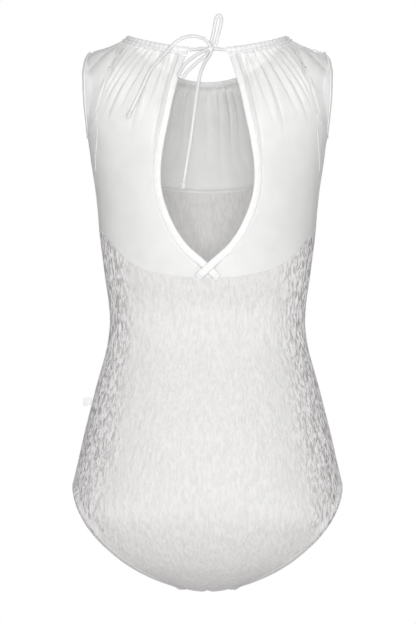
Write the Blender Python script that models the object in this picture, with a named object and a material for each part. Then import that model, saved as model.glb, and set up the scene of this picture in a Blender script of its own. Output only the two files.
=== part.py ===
"""Velvet leotard, filled out with no wearer.

A white crushed velvet body hangs from a sheer, gathered yoke.  The back yoke is two halves with a
teardrop keyhole between them, and a drawstring in the neck casing is tied in a bow at the nape.

The origin is between the neck points, at the height of the shoulder line.  +X is the wearer's
left, +Y is the back and +Z is up.  Tables are in millimetres, and "drop" is the distance below
the shoulder line.
"""
import math

import bmesh
import bpy
import numpy as np

MM = 0.001
GAP = 0.3 * MM
HALF_GAP = GAP / 2
CHORD_EASE = 0.4 * MM
ROUND_EASE = 1.0 * MM
ARMHOLE_EASE = 1.3 * MM
NECK_EASE = 0.65 * MM

VELVET_WALL = 1.4 * MM
MESH_WALL = 1.0 * MM
HEM_WIDTH = 8.0 * MM
HEM_WALL = 2.6 * MM
HEM_PROUD = 0.4 * MM
ARMHOLE_BINDING_WIDTH = 6.0 * MM
KEYHOLE_BINDING_WIDTH = 10.0 * MM
BINDING_WALL = 2.0 * MM
BINDING_PROUD = 0.6 * MM
CASING_HEIGHT = 10.0 * MM
CASING_WALL = 4.6 * MM
CASING_PROUD = 2.4 * MM
CASING_ROUNDING = 1.2 * MM
UNDER_LIFT = BINDING_WALL - BINDING_PROUD + GAP
OVER_LIFT = UNDER_LIFT + BINDING_WALL + GAP
CORD_DIAMETER = 4.4 * MM

BACK_NECK_DROP = 15.0 * MM
FRONT_NECK_DROP = 55.0 * MM
BACK_NECK_POWER = 2.0
FRONT_NECK_POWER = 1.5
NECK_HALF_WIDTH = 96.5 * MM
CASING_MOUTH = 23.5 * MM
SHOULDER_END_DROP = 22.0 * MM
UNDERARM_DROP = 120.0 * MM
BACK_ARMHOLE_REACH = 42.0 * MM
FRONT_ARMHOLE_REACH = 46.0 * MM
YOKE_FOOT = 3.5 * MM
YOKE_FOOT_DROP = 301.0 * MM

BACK_GATHERS = 9
FRONT_GATHERS = 16
COLUMNS_PER_GATHER = 4
GATHER_HEIGHT = 1.1 * MM
GATHER_REACH = 120.0 * MM
GATHER_FADE = 1.2
GATHER_PRESSED = 0.4

# The flat map of the yokes, and how their columns bow out past the underarm.
CHART_TOP = 60.0 * MM
CHART_POWER = 1.25
RIDGE_SHARE = 0.16
UNDERARM_BOW = math.radians(17)
UNDERARM_SPREAD = 0.2
UNDERARM_LOW = 1.7

HIP_EASE_ROWS = 3.5
HIP_EASE_PASSES = 6
BODY_COLUMNS = 26
LEG_ROWS = 12
BODY_ROWS = 14
BACK_YOKE_ROWS = 13
FRONT_YOKE_ROWS = 8
YOKE_ROW_SPREAD = 1.1
SHARP_EDGE = math.radians(50)

# Points inside the torso that tell in from out: in the leg, at the hip and below the neck.
LEG_CORE = np.array([40.0, 8.0, -560.0]) * MM
HIP_CORE = np.array([0.0, 0.0, -480.0]) * MM
WAIST_CORE = np.array([0.0, 0.0, -400.0]) * MM

# The torso's level sections, from the shoulder line to the hip.
TORSO_COLUMNS = ("drop", "half_width", "back_depth", "front_depth", "squareness")
TORSO = (
    (0, 96.5, 54, 50, 2.0),
    (7, 111, 56.5, 53.5, 2.0),
    (12, 122.5, 58.5, 55.5, 2.05),
    (15.5, 133.5, 60, 57, 2.1),
    (18.5, 143.5, 62, 58, 2.15),
    (25, 153.5, 66.5, 60.3, 2.33),
    (40, 161, 76, 64, 2.8),
    (60, 162, 85, 68, 3.0),
    (80, 160, 91, 74, 3.0),
    (100, 156, 95, 82, 2.8),
    (120, 151, 97, 90, 2.5),
    (160, 145, 98.5, 102, 2.3),
    (200, 139, 98, 108, 2.3),
    (250, 134.5, 93, 108, 2.3),
    (300, 128, 85, 99, 2.3),
    (359, 122, 77, 89, 2.3),
    (394, 127, 81, 88, 2.25),
    (429, 137, 91, 90, 2.2),
    (464, 146, 101, 93, 2.15),
    (500, 155, 111, 94, 2.1),
    (534, 162.5, 116, 93, 2.05),
    (565, 168, 118, 92, 2.0),
)

# The rows of the seat and the crotch strip, from the crotch seam up to the hip.  The edge is the
# finished leg edge, and the sweep is how far each half row turns, in degrees.
LEG_COLUMNS = ("centre_y", "centre_drop", "edge_x", "edge_y", "edge_drop", "sweep")
BACK_LEG = (
    (0, 693.5, 36, 0, 692, 25),
    (34, 691.5, 42, 20, 687.5, 32),
    (64, 681.5, 63.5, 42, 678, 42),
    (87, 665.5, 85, 57, 667.5, 50),
    (103, 644, 105.5, 65, 654.5, 58),
    (111.5, 621.5, 126, 68, 637.5, 66),
    (116, 600, 143.5, 66, 619.5, 74),
    (118, 584, 154.8, 57, 603, 80),
    (118.5, 571, 163.3, 42, 585.5, 85),
    (118, 560, 167.2, 22, 571.2, 88),
    (117, 551, 168, 0, 566, 90),
)
FRONT_LEG = (
    (0, 693.5, 36, 0, 692, 25),
    (-32, 688.5, 37, -22, 686, 28),
    (-58, 673, 46, -42, 675, 34),
    (-75, 649.5, 68, -58, 655, 46),
    (-84, 622, 98, -65, 630, 60),
    (-89, 595, 130, -59, 604, 72),
    (-91, 575, 154, -43, 583, 81),
    (-92, 562, 166, -21, 570, 87),
    (-92.5, 551, 168, 0, 566, 90),
)

# The seams where the yokes meet the velvet, by angle from the centre to the side seam.
SEAM_COLUMNS = ("angle", "drop")
BACK_SEAM = (
    (0, 301.5), (14, 300), (24, 296), (36, 290), (45, 282), (56, 267.5), (69, 249), (78, 240), (90, 235),
)
FRONT_SEAM = (
    (0, 190), (14, 187.5), (28, 182.5), (50, 173), (70, 165), (90, 162),
)

# The centre line of the left keyhole binding, past the crossing to its end under the seam.
CROSSING_START = 42.0 * MM
CROSSING_RISE = 18.0 * MM
KEYHOLE_COLUMNS = ("x", "drop")
KEYHOLE = (
    (32.2, 25), (41, 52), (53, 104), (60, 140), (63, 172), (60.8, 197), (54.2, 219), (44.3, 241),
    (30.3, 261.7), (3.3, 285.7), (-9, 297),
)

# The tie's routes: x, how far outside the back it lies, and drop.
ROUTE_COLUMNS = ("x", "outside", "drop")
KNOT_PLACE = (-3.5, 5.0, 16.5)
KNOT_SIZE = (6.5, 4.5, 5.5)
KNOT_CLEAR = 0.7 * MM
LEFT_BRIDGE = ((22.6, -0.3, 17.5), (15, 1.5, 17), (7, 4, 16.3), (3.4, 5, 16.2), (0, 5, 16.3))
RIGHT_BRIDGE = ((-22.6, -0.3, 17.5), (-19, 0.8, 17.2), (-14, 3, 16.8), (-10.4, 4.5, 16.6), (-7, 5, 16.5))
UPPER_LOOP = (
    (-3.8, 5, 13.5), (-4.4, 5.2, 10.6), (-5.8, 5.6, 4), (-7.6, 5.8, -5), (-9.2, 5.6, -14), (-11, 5.4, -22),
    (-14.2, 5.2, -25.6), (-17, 5.2, -22.5), (-16.4, 5.6, -14), (-14.4, 6, -5), (-12, 6.2, 4),
    (-9.9, 6.2, 11.4), (-7.4, 5.4, 14.4),
)
LOWER_LOOP = (
    (-0.5, 6, 17.2), (4, 7.2, 19), (10, 8.2, 22), (18, 8, 27.5), (26, 7.6, 34), (32.4, 7.2, 43),
    (35.4, 7, 50.6), (31.4, 7, 52.4), (26.5, 7.4, 47), (19.5, 8, 39.8), (12, 8.2, 33),
    (5.6, 8.4, 27.8), (2, 8.8, 24.6), (-0.4, 8.6, 20.6),
)
LEFT_TAIL = (
    (-3.2, 12.1, 12.8), (2.6, 11.2, 5.4), (8.5, 8.4, 2.6), (19, 7, 0.8), (29.6, 5.8, 2.6), (39.6, 5.4, 8.4),
    (50.2, 5.2, 19.4), (61, 5, 31.6), (70.8, 4.6, 43.4), (78.6, 4.4, 59.6), (86.2, 4.2, 76),
    (95.2, 4, 94.6),
)
DOWN_TAIL = (
    (-4.4, 2.8, 20), (-3.2, 1.2, 24), (1.6, 1, 31), (7.3, 1.6, 43), (13, 1, 71), (17.4, 0, 104),
    (22.6, -0.6, 140), (29.2, -0.8, 181),
)
END_KNOT_REACH = 4.6 * MM
END_KNOT_SIZE = (3.6, 3.4, 4.2)

# The blank tab in the left side seam.
LABEL_DROPS = (450 * MM, 460.5 * MM)
LABEL_LENGTH = 11 * MM
LABEL_WALL = 1.2 * MM

VELVET = ("velvet_white", (0.80, 0.79, 0.78), 0.75)
SHEER = ("mesh_white", (0.86, 0.86, 0.86), 0.6)
BINDING = ("binding_white", (0.92, 0.92, 0.92), 0.55)
CORD = ("cord_white", (0.90, 0.90, 0.90), 0.5)
TAB = ("tab_white", (0.93, 0.93, 0.93), 0.6)


def spline(knots, values, at):
    """Smooth curve through the values, read at one place or at several."""
    knots = np.asarray(knots, float)
    values = np.asarray(values, float)
    at = np.asarray(at, float)
    steps = np.diff(knots)
    shape = (-1,) + (1,) * (values.ndim - 1)
    slopes = np.diff(values, axis=0) / steps.reshape(shape)
    before = steps[:-1].reshape(shape)
    after = steps[1:].reshape(shape)
    middle = (slopes[:-1] * after + slopes[1:] * before) / (before + after)
    tangents = np.concatenate([slopes[:1], middle, slopes[-1:]])
    index = np.clip(np.searchsorted(knots, at, side="right") - 1, 0, len(knots) - 2)
    length = steps[index]
    u = (at - knots[index]) / length
    if values.ndim > 1:
        u = u[..., None]
        length = length[..., None]
    start = values[index] * (2 * u**3 - 3 * u**2 + 1)
    end = values[index + 1] * (3 * u**2 - 2 * u**3)
    leave = tangents[index] * (u**3 - 2 * u**2 + u) * length
    arrive = tangents[index + 1] * (u**3 - u**2) * length
    return start + end + leave + arrive


def column(rows, columns, name):
    return np.array([row[columns.index(name)] for row in rows], float)


def torso(drop, name):
    """One size of the torso's level section at a drop, in metres or as a plain exponent."""
    unit = 1.0 if name == "squareness" else MM
    knots = column(TORSO, TORSO_COLUMNS, "drop") * MM
    return spline(knots, column(TORSO, TORSO_COLUMNS, name) * unit, drop)


def depth(drop, side):
    return torso(drop, "back_depth" if side > 0 else "front_depth")


def section_point(angle, drop, side):
    """Point on the level section, by angle from the centre (0) to the side seam (90 degrees)."""
    power = 2 / torso(drop, "squareness")
    across = np.sign(angle) * np.abs(np.sin(angle)) ** power
    out = np.abs(np.cos(angle)) ** power
    x = torso(drop, "half_width") * across
    y = side * (HALF_GAP + depth(drop, side) * out)
    return np.stack([x, y, -drop + 0 * x], axis=-1)


def onto_torso(points, side):
    """Points moved level with themselves onto the torso, straight towards or from its axis."""
    drop = -points[..., 2]
    power = torso(drop, "squareness")
    share_x = np.abs(points[..., 0]) / torso(drop, "half_width")
    share_y = np.abs(points[..., 1]) / depth(drop, side)
    scale = (share_x**power + share_y**power) ** (-1 / power)
    y = side * np.maximum(np.abs(points[..., 1]) * scale, HALF_GAP)
    return np.stack([points[..., 0] * scale, y, points[..., 2]], axis=-1)


def at_x(x, drop, side):
    """Point on the torso at a distance from the middle."""
    power = torso(drop, "squareness")
    share = np.clip(np.abs(x) / torso(drop, "half_width"), 0, 1)
    y = side * (HALF_GAP + depth(drop, side) * (1 - share**power) ** (1 / power))
    return np.stack([x + 0 * drop, y, -drop + 0 * x], axis=-1)


def torso_normals(points, side):
    """Unit directions straight out of the torso."""

    def level(points):
        drop = -points[..., 2]
        power = torso(drop, "squareness")
        share_x = np.abs(points[..., 0]) / torso(drop, "half_width")
        share_y = np.maximum(np.abs(points[..., 1]) - HALF_GAP, 0) / depth(drop, side)
        return share_x**power + share_y**power

    reach = 0.05 * MM
    slopes = []
    for axis in range(3):
        shift = np.zeros(3)
        shift[axis] = reach
        slopes.append(level(points + shift) - level(points - shift))
    normals = np.stack(slopes, axis=-1)
    normals[..., 1] *= np.abs(points[..., 1]) > 2 * HALF_GAP
    return normals / np.linalg.norm(normals, axis=-1, keepdims=True)


def lengths(points):
    steps = np.linalg.norm(np.diff(points, axis=0), axis=1)
    return np.concatenate([[0], np.cumsum(steps)])


def evenly(points, count):
    """The same path with evenly spaced points."""
    run = lengths(points)
    places = np.linspace(0, run[-1], count)
    return np.stack([np.interp(places, run, points[:, k]) for k in range(3)], axis=1)


def directions(points, closed=False):
    """Unit tangents along a path."""
    if closed:
        tangents = np.roll(points, -1, axis=0) - np.roll(points, 1, axis=0)
    else:
        tangents = np.gradient(points, axis=0)
    return tangents / np.linalg.norm(tangents, axis=1, keepdims=True)


def sideways(points, normals, towards, closed=False):
    """Unit directions square to a path in its surface, on the side of the given point."""
    across = np.cross(normals, directions(points, closed))
    across /= np.linalg.norm(across, axis=1, keepdims=True)
    facing = np.sum(across * (towards - points), axis=1) < 0
    across[facing] *= -1
    return across


def mirrored(points):
    return points * np.array([-1.0, 1.0, 1.0])


def material(finish):
    name, colour, roughness = finish
    made = bpy.data.materials.new(name)
    made.use_nodes = True
    shader = made.node_tree.nodes["Principled BSDF"]
    shader.inputs["Base Color"].default_value = (*colour, 1)
    shader.inputs["Roughness"].default_value = roughness
    shader.inputs["Metallic"].default_value = 0
    return made


def add_mesh(name, vertices, faces, finish):
    """Object from vertices and faces, turned so that its faces point out."""
    mesh = bpy.data.meshes.new(name)
    mesh.from_pydata([tuple(map(float, vertex)) for vertex in vertices], [], faces)
    shape = bmesh.new()
    shape.from_mesh(mesh)
    bmesh.ops.triangulate(shape, faces=shape.faces[:])
    if shape.calc_volume(signed=True) < 0:
        bmesh.ops.reverse_faces(shape, faces=shape.faces[:])
    shape.to_mesh(mesh)
    shape.free()
    mesh.shade_smooth()
    mesh.set_sharp_from_angle(angle=SHARP_EDGE)
    mesh.materials.append(material(finish))
    made = bpy.data.objects.new(name, mesh)
    bpy.context.scene.collection.objects.link(made)
    return made


def grid_normals(grid, out_of):
    """Unit normals of a grid of points, on the side away from a vertical line."""
    down = np.gradient(grid, axis=0)
    across = np.gradient(grid, axis=1)
    normals = np.cross(across, down)
    seam = np.abs(grid[..., 1]) < 2 * HALF_GAP
    normals[..., 1][seam] = 0
    normals /= np.linalg.norm(normals, axis=-1, keepdims=True)
    middle = (grid.shape[0] // 2, grid.shape[1] // 2)
    if np.dot(normals[middle], grid[middle] - out_of) < 0:
        normals = -normals
    return normals


def add_cloth(name, grid, wall, finish, raised=None):
    """Cloth wall from its grid of outer points, with its inner side one wall further in."""
    rows, columns, _ = grid.shape
    core = np.array([0, 0, grid[rows // 2, columns // 2, 2]])
    normals = grid_normals(grid, core)
    if raised is not None:
        grid = grid + normals * raised[..., None]
        normals = grid_normals(grid, core)
    inner = grid - normals * wall
    vertices = np.concatenate([grid.reshape(-1, 3), inner.reshape(-1, 3)])
    count = rows * columns
    faces = []
    for i in range(rows - 1):
        for j in range(columns - 1):
            corner = i * columns + j
            outer = (corner, corner + 1, corner + columns + 1, corner + columns)
            faces.append(outer)
            faces.append(tuple(index + count for index in reversed(outer)))
    rim = list(range(columns))
    rim += [i * columns + columns - 1 for i in range(1, rows)]
    rim += [(rows - 1) * columns + j for j in range(columns - 2, -1, -1)]
    rim += [i * columns for i in range(rows - 2, 0, -1)]
    for here, there in zip(rim, rim[1:] + rim[:1]):
        faces.append((there, here, here + count, there + count))
    return add_mesh(name, vertices, faces, finish)


def add_band(name, path, normals, across, profile, finish, closed=False):
    """Band swept along a path.  The profile holds (across, out) pairs in metres."""
    sections = []
    for place, normal, side in zip(path, normals, across):
        sections.append([place + side * a + normal * b for a, b in profile])
    vertices = np.array(sections).reshape(-1, 3)
    sides = len(profile)
    count = len(path)
    faces = []
    for i in range(count if closed else count - 1):
        for k in range(sides):
            near = i * sides
            far = (i + 1) % count * sides
            following = (k + 1) % sides
            faces.append((near + k, near + following, far + following, far + k))
    if not closed:
        faces.append(tuple(reversed(range(sides))))
        faces.append(tuple((count - 1) * sides + k for k in range(sides)))
    return add_mesh(name, vertices, faces, finish)


def flat_profile(start, width, wall, proud):
    """Section of a pressed strip with softened edges, from one edge to the other."""
    soft = min(wall / 2, width / 4)
    under = proud - wall
    middle = proud - wall / 2
    return (
        (start, middle), (start + soft, proud), (start + width - soft, proud),
        (start + width, middle), (start + width - soft, under), (start + soft, under),
    )


def add_tube(name, route, finish):
    """Free cord along a smooth path through its route points."""
    path = back_route(route)
    run = lengths(path)
    fine = spline(run, path, np.linspace(0, run[-1], 400))
    fine = outside_knot(fine)
    count = max(4, len(route))
    points = evenly(fine, count)
    curve = bpy.data.curves.new(name, "CURVE")
    curve.dimensions = "3D"
    curve.bevel_depth = CORD_DIAMETER / 2
    curve.bevel_resolution = 2
    curve.use_fill_caps = True
    line = curve.splines.new("POLY")
    line.points.add(count - 1)
    for point, place in zip(line.points, points):
        point.co = (*place, 1)
    curve.materials.append(material(finish))
    made = bpy.data.objects.new(name, curve)
    bpy.context.scene.collection.objects.link(made)
    return made


def outside_knot(path):
    """The stretch of a path that runs outside the bow knot."""
    centre = back_route([KNOT_PLACE])[0]
    reach = np.array(KNOT_SIZE) * MM + KNOT_CLEAR
    return path[np.linalg.norm((path - centre) / reach, axis=1) > 1]


def add_blob(name, centre, radii, finish):
    """Rounded knot."""
    shape = bmesh.new()
    bmesh.ops.create_uvsphere(shape, u_segments=12, v_segments=8, radius=1)
    mesh = bpy.data.meshes.new(name)
    for vertex in shape.verts:
        vertex.co = [c + r * MM * v for c, r, v in zip(centre, radii, vertex.co)]
    shape.to_mesh(mesh)
    shape.free()
    mesh.shade_smooth()
    mesh.materials.append(material(finish))
    made = bpy.data.objects.new(name, mesh)
    bpy.context.scene.collection.objects.link(made)
    return made


def back_route(route):
    """Places of a route that is given by x, how far outside the back it lies, and drop."""
    x, outside, drop = (column(route, ROUTE_COLUMNS, name) * MM for name in ROUTE_COLUMNS)
    places = at_x(x, np.maximum(drop, BACK_NECK_DROP), 1)
    places[:, 1] += outside
    places[:, 2] = -drop
    return places


def seam_drop(rows, angle):
    knots = column(rows, SEAM_COLUMNS, "angle")
    drops = column(rows, SEAM_COLUMNS, "drop") * MM
    return spline(knots, drops, np.degrees(np.abs(angle)))


def leg_edge(side):
    """Finished leg edge of one side, its outward normals and the directions into the cloth."""
    rows = BACK_LEG if side > 0 else FRONT_LEG
    names = ("edge_x", "edge_y", "edge_drop")
    edge = np.stack([column(rows, LEG_COLUMNS, name) * MM for name in names], axis=1)
    edge[:, 2] *= -1
    knots = lengths(edge)
    share = leg_shares()
    points = spline(knots / knots[-1], edge, share)
    points[0, 1] = side * HALF_GAP
    points[-1, 1] = side * HALF_GAP
    tangents = directions(points)
    tangents[0] = tangents[-1] = (0, 1, 0)
    normals = points - LEG_CORE
    normals -= tangents * np.sum(normals * tangents, axis=1, keepdims=True)
    normals /= np.linalg.norm(normals, axis=1, keepdims=True)
    across = np.cross(normals, tangents)
    inward = HIP_CORE - points
    across[np.sum(across * inward, axis=1) < 0] *= -1
    across[0] = (-1, 0, 0)
    normals[0] = (0, 0, -1)
    across[-1] = (0, 0, 1)
    normals[-1] = (1, 0, 0)
    return points, normals, across


def leg_shares():
    """How far along the leg edge each row of the seat ends."""
    return np.linspace(0, 1, LEG_ROWS + 1)


def body_grid(side):
    """Outer points of a velvet panel, from the crotch seam up to the yoke seam."""
    rows = BACK_LEG if side > 0 else FRONT_LEG
    seam = BACK_SEAM if side > 0 else FRONT_SEAM
    edge, _, across = leg_edge(side)
    edge = edge + across * (HEM_WIDTH + GAP + ROUND_EASE)
    names = ("edge_x", "edge_y", "edge_drop")
    finished = np.stack([column(rows, LEG_COLUMNS, name) for name in names], axis=1)
    knots = lengths(finished)
    knots /= knots[-1]
    turn = np.linspace(-1, 1, BODY_COLUMNS + 1)
    grid = []
    for share, reach in zip(leg_shares(), edge):
        centre_y = spline(knots, column(rows, LEG_COLUMNS, "centre_y") * MM, share)
        centre_drop = spline(knots, column(rows, LEG_COLUMNS, "centre_drop") * MM, share)
        sweep = math.radians(spline(knots, column(rows, LEG_COLUMNS, "sweep"), share))
        centre_y = side * max(side * centre_y, HALF_GAP)
        x = reach[0] * np.sin(turn * sweep) / math.sin(sweep)
        fall = (1 - np.cos(turn * sweep)) / (1 - math.cos(sweep))
        y = centre_y + (reach[1] - centre_y) * fall
        z = -centre_drop + (reach[2] + centre_drop) * fall
        grid.append(np.stack([x, y, z], axis=1))
    angle = turn * math.pi / 2
    hip = -grid[-1][:, 2]
    top = seam_drop(seam, angle) + GAP + CHORD_EASE
    for share in np.linspace(0, 1, BODY_ROWS + 1)[1:]:
        drop = hip + (top - hip) * share
        grid.append(section_point(angle, drop, side))
    return eased(np.array(grid))


def eased(grid):
    """The panel with its hip rounded off: rows next to the hip are drawn between their neighbours."""
    fall = np.arange(len(grid)) - LEG_ROWS
    share = 0.5 * np.exp(-((fall / HIP_EASE_ROWS) ** 2))[1:-1, None, None]
    for _ in range(HIP_EASE_PASSES):
        middle = (grid[2:, 1:-1] + grid[:-2, 1:-1]) / 2
        grid[1:-1, 1:-1] += share * (middle - grid[1:-1, 1:-1])
    return grid


def neckline(side, mouth, count):
    """Finished neck edge, from one shoulder or mouth of the casing to the other."""
    widest = math.pi / 2
    start = math.asin(mouth / NECK_HALF_WIDTH) if mouth else -widest
    angle = np.linspace(start, widest, count)
    drop_at_centre = BACK_NECK_DROP if side > 0 else FRONT_NECK_DROP
    power = BACK_NECK_POWER if side > 0 else FRONT_NECK_POWER
    drop = drop_at_centre * np.cos(angle) ** power
    points = at_x(NECK_HALF_WIDTH * np.sin(angle), drop, side)
    return evenly(points, count)


def armhole(count):
    """Finished edge of the left armhole, from the shoulder round the back to the shoulder."""
    angle = np.linspace(0, 2 * math.pi, count, endpoint=False)
    middle = (SHOULDER_END_DROP + UNDERARM_DROP) / 2
    drop = middle - (UNDERARM_DROP - SHOULDER_END_DROP) / 2 * np.cos(angle)
    points = []
    for turn, level in zip(angle, drop):
        side = 1 if math.sin(turn) > -1e-6 else -1
        reach = BACK_ARMHOLE_REACH if side > 0 else FRONT_ARMHOLE_REACH
        y = abs(math.sin(turn)) * reach
        power = torso(level, "squareness")
        share = (1 - (y / depth(level, side)) ** power) ** (1 / power)
        points.append((torso(level, "half_width") * share, side * y, -level))
    return np.array(points)


def armhole_frames(points):
    normals = np.array([torso_normals(p, 1 if p[1] >= 0 else -1) for p in points])
    middle = points.mean(axis=0)
    across = np.cross(normals, directions(points, closed=True))
    across /= np.linalg.norm(across, axis=1, keepdims=True)
    inward = np.sum(across * (middle - points), axis=1) > 0
    across[inward] *= -1
    return normals, across


def armhole_seam(side, count):
    """Where the yoke meets the armhole binding, from the shoulder down to the side seam."""
    edge = armhole(160)
    normals, across = armhole_frames(edge)
    seam = edge + across * (ARMHOLE_BINDING_WIDTH + GAP + ARMHOLE_EASE)
    half = len(edge) // 2
    if side > 0:
        chosen = seam[: half + 1]
    else:
        chosen = np.concatenate([seam[:1], seam[:half - 1:-1]])
    chosen = chosen.copy()
    chosen[:, 1] = side * np.abs(chosen[:, 1])
    return evenly(onto_torso(chosen, side), count)


def chart(points):
    """Flat map of the yokes: turned distance from the middle, and drop."""
    drop = -points[..., 2]
    widest = torso(np.maximum(drop, CHART_TOP), "half_width")
    share = np.clip(np.abs(points[..., 0]) / widest, 0, 1)
    turn = np.sign(points[..., 0]) * np.arcsin(share**CHART_POWER)
    return np.stack([turn, drop], axis=-1)


def from_chart(flat, side):
    turn, drop = flat[..., 0], flat[..., 1]
    widest = torso(np.maximum(drop, CHART_TOP), "half_width")
    x = np.sign(turn) * widest * np.abs(np.sin(turn)) ** (1 / CHART_POWER)
    return at_x(x, drop, side)


def fan(inner, outer, left, right, side, underarms):
    """Grid between the neck seam and the outer seams, whose columns follow the gathers."""
    columns = len(inner)
    rows = len(left)
    c = np.linspace(0, 1, columns)[None, :, None]
    r = (lengths(left) / lengths(left)[-1])[:, None, None]
    near, far, first, last = chart(inner), chart(outer), chart(left), chart(right)
    flat = patch(near, far, first, last, c, r)
    lean = np.zeros_like(flat[..., :1])
    for share, way in zip(underarms, (-1, 1)[-len(underarms):]):
        lean += way * np.exp(-(((c - share) / UNDERARM_SPREAD) ** 2))
    flat[..., :1] -= UNDERARM_BOW * lean * np.sin(math.pi * r**UNDERARM_LOW)
    flat = from_chart(flat, side)
    direct = onto_torso(patch(inner, outer, left, right, c, r), side)
    from_ridge = 1 - c if side > 0 else np.minimum(c, 1 - c)
    share = np.clip(1 - from_ridge / RIDGE_SHARE, 0, 1)
    grid = onto_torso(flat * (1 - share) + direct * share, side)
    grid[0], grid[-1], grid[:, 0], grid[:, -1] = inner, outer, left, right
    return grid


def patch(near, far, first, last, c, r):
    """Points between four edges, each a blend of the edges beside it."""
    ruled = (1 - r) * near[None] + r * far[None]
    sides = (1 - c) * first[:, None] + c * last[:, None]
    corners = (1 - r) * ((1 - c) * near[0] + c * near[-1]) + r * ((1 - c) * far[0] + c * far[-1])
    return ruled + sides - corners


def row_shares(side):
    """Rows of a yoke lie closer together near the neck."""
    rows = BACK_YOKE_ROWS if side > 0 else FRONT_YOKE_ROWS
    return np.linspace(0, 1, rows + 1) ** YOKE_ROW_SPREAD


def along(points, shares):
    run = lengths(points)
    places = shares * run[-1]
    return np.stack([np.interp(places, run, points[:, k]) for k in range(3)], axis=1)


def shoulder_seam(start, end, side):
    """Shoulder seam from the neck seam to the armhole seam, level by level."""
    drop = -np.linspace(start[2], end[2], 40)
    x = torso(drop, "half_width")
    points = np.stack([x, side * HALF_GAP + 0 * x, -drop], axis=1)
    return along(points, row_shares(side))


def neck_seam(side, mouth, count):
    """Where the yoke meets the casing."""
    edge = neckline(side, mouth, 120)
    normals = torso_normals(edge, side)
    across = sideways(edge, normals, WAIST_CORE)
    if not mouth:
        across[0] = across[-1] * np.array([-1, 1, 1])
    seam = edge + across * (CASING_HEIGHT + GAP + NECK_EASE)
    seam = onto_torso(seam, side)
    seam[-1, 1] = side * HALF_GAP
    if not mouth:
        seam[0, 1] = side * HALF_GAP
    return evenly(seam, count)


def seam_points(rows, angles, side, clear):
    drop = seam_drop(rows, angles) - clear
    return section_point(angles, drop, side)


def keyhole_line(count):
    """Centre line of the left keyhole binding on the back."""
    flat = np.stack([column(KEYHOLE, KEYHOLE_COLUMNS, name) * MM for name in KEYHOLE_COLUMNS], axis=1)
    run = lengths(flat)
    x, drop = spline(run, flat, np.linspace(0, run[-1], count)).T
    return at_x(x, drop, 1)


def keyhole_frames(points):
    normals = torso_normals(points, 1)
    across = np.cross(directions(points), normals)
    across /= np.linalg.norm(across, axis=1, keepdims=True)
    if across[0, 0] < 0:
        across = -across
    return normals, across


def gather_heights(grid, gathers):
    """Relief of the gathers: pressed at the neck seam, full below it and gone at their reach."""
    rows, columns, _ = grid.shape
    steps = np.linalg.norm(np.diff(grid, axis=0), axis=2)
    run = np.concatenate([np.zeros((1, columns)), np.cumsum(steps, axis=0)])
    fade = np.clip(1 - run / GATHER_REACH, 0, 1) ** GATHER_FADE
    fade[0] = GATHER_PRESSED
    wave = np.cos(2 * math.pi * gathers * np.linspace(0, 1, columns))
    return GATHER_HEIGHT * fade * wave[None, :]


def back_yoke_grid():
    """Outer points of the left back yoke, from the keyhole binding to the shoulder seam."""
    line = keyhole_line(200)
    _, across = keyhole_frames(line)
    left = line + across * (KEYHOLE_BINDING_WIDTH / 2 + GAP + ROUND_EASE)
    inner = neck_seam(1, left[0, 0], BACK_GATHERS * COLUMNS_PER_GATHER + 1)
    left = left[left[:, 2] < inner[0, 2] - CHORD_EASE]
    left = left[left[:, 0] > YOKE_FOOT]
    foot_share = YOKE_FOOT / torso(YOKE_FOOT_DROP, "half_width")
    foot_angle = math.asin(foot_share ** (torso(YOKE_FOOT_DROP, "squareness") / 2))
    foot = seam_points(BACK_SEAM, np.array([foot_angle]), 1, 0)
    inner[0] = at_x(left[0, 0], -inner[0, 2], 1)
    left = onto_torso(np.concatenate([inner[:1], left, foot]), 1)
    left = along(left, row_shares(1))
    below = seam_points(BACK_SEAM, np.linspace(foot_angle, math.pi / 2, 60), 1, 0)
    below[0] = left[-1]
    underarm = armhole_seam(1, 60)[::-1]
    drops = np.linspace(-below[-1, 2], -underarm[0, 2], 30)[1:-1]
    side_seam = section_point(np.full(28, math.pi / 2), drops, 1)
    path = np.concatenate([below, side_seam, underarm])
    outer = evenly(path, len(inner))
    underarm_share = 1 - lengths(underarm)[-1] / lengths(path)[-1]
    outer[0], outer[-1] = left[-1], underarm[-1]
    right = shoulder_seam(inner[-1], outer[-1], 1)
    right[0], right[-1] = inner[-1], outer[-1]
    return fan(inner, outer, left, right, 1, (underarm_share,))


def front_yoke_grid():
    """Outer points of the front yoke, from one shoulder seam to the other."""
    inner = neck_seam(-1, 0, FRONT_GATHERS * COLUMNS_PER_GATHER + 1)
    underarm = armhole_seam(-1, 60)
    angles = np.linspace(math.pi / 2, -math.pi / 2, 90)
    below = seam_points(FRONT_SEAM, angles, -1, 0)
    drops = np.linspace(-underarm[-1, 2], -below[0, 2], 14)[1:-1]
    side_seam = section_point(np.full(12, math.pi / 2), drops, -1)
    half = np.concatenate([underarm, side_seam])
    whole = np.concatenate([half, below, mirrored(half)[::-1]])[::-1]
    outer = evenly(whole, len(inner))
    outer[0], outer[-1] = whole[0], whole[-1]
    underarm_share = lengths(underarm)[-1] / lengths(whole)[-1]
    right = shoulder_seam(inner[-1], outer[-1], -1)
    right[0], right[-1] = inner[-1], outer[-1]
    left = mirrored(right)
    inner[0], outer[0] = left[0], left[-1]
    return fan(inner, outer, left, right, -1, (underarm_share, 1 - underarm_share))


def build_body():
    add_cloth("back_body", body_grid(1), VELVET_WALL, VELVET)
    add_cloth("front_body", body_grid(-1), VELVET_WALL, VELVET)


def build_yokes():
    grid = back_yoke_grid()
    raised = gather_heights(grid, BACK_GATHERS)
    add_cloth("back_yoke_left", grid, MESH_WALL, SHEER, raised)
    add_cloth("back_yoke_right", mirrored(grid), MESH_WALL, SHEER, raised)
    grid = front_yoke_grid()
    add_cloth("front_yoke", grid, MESH_WALL, SHEER, gather_heights(grid, FRONT_GATHERS))


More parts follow.
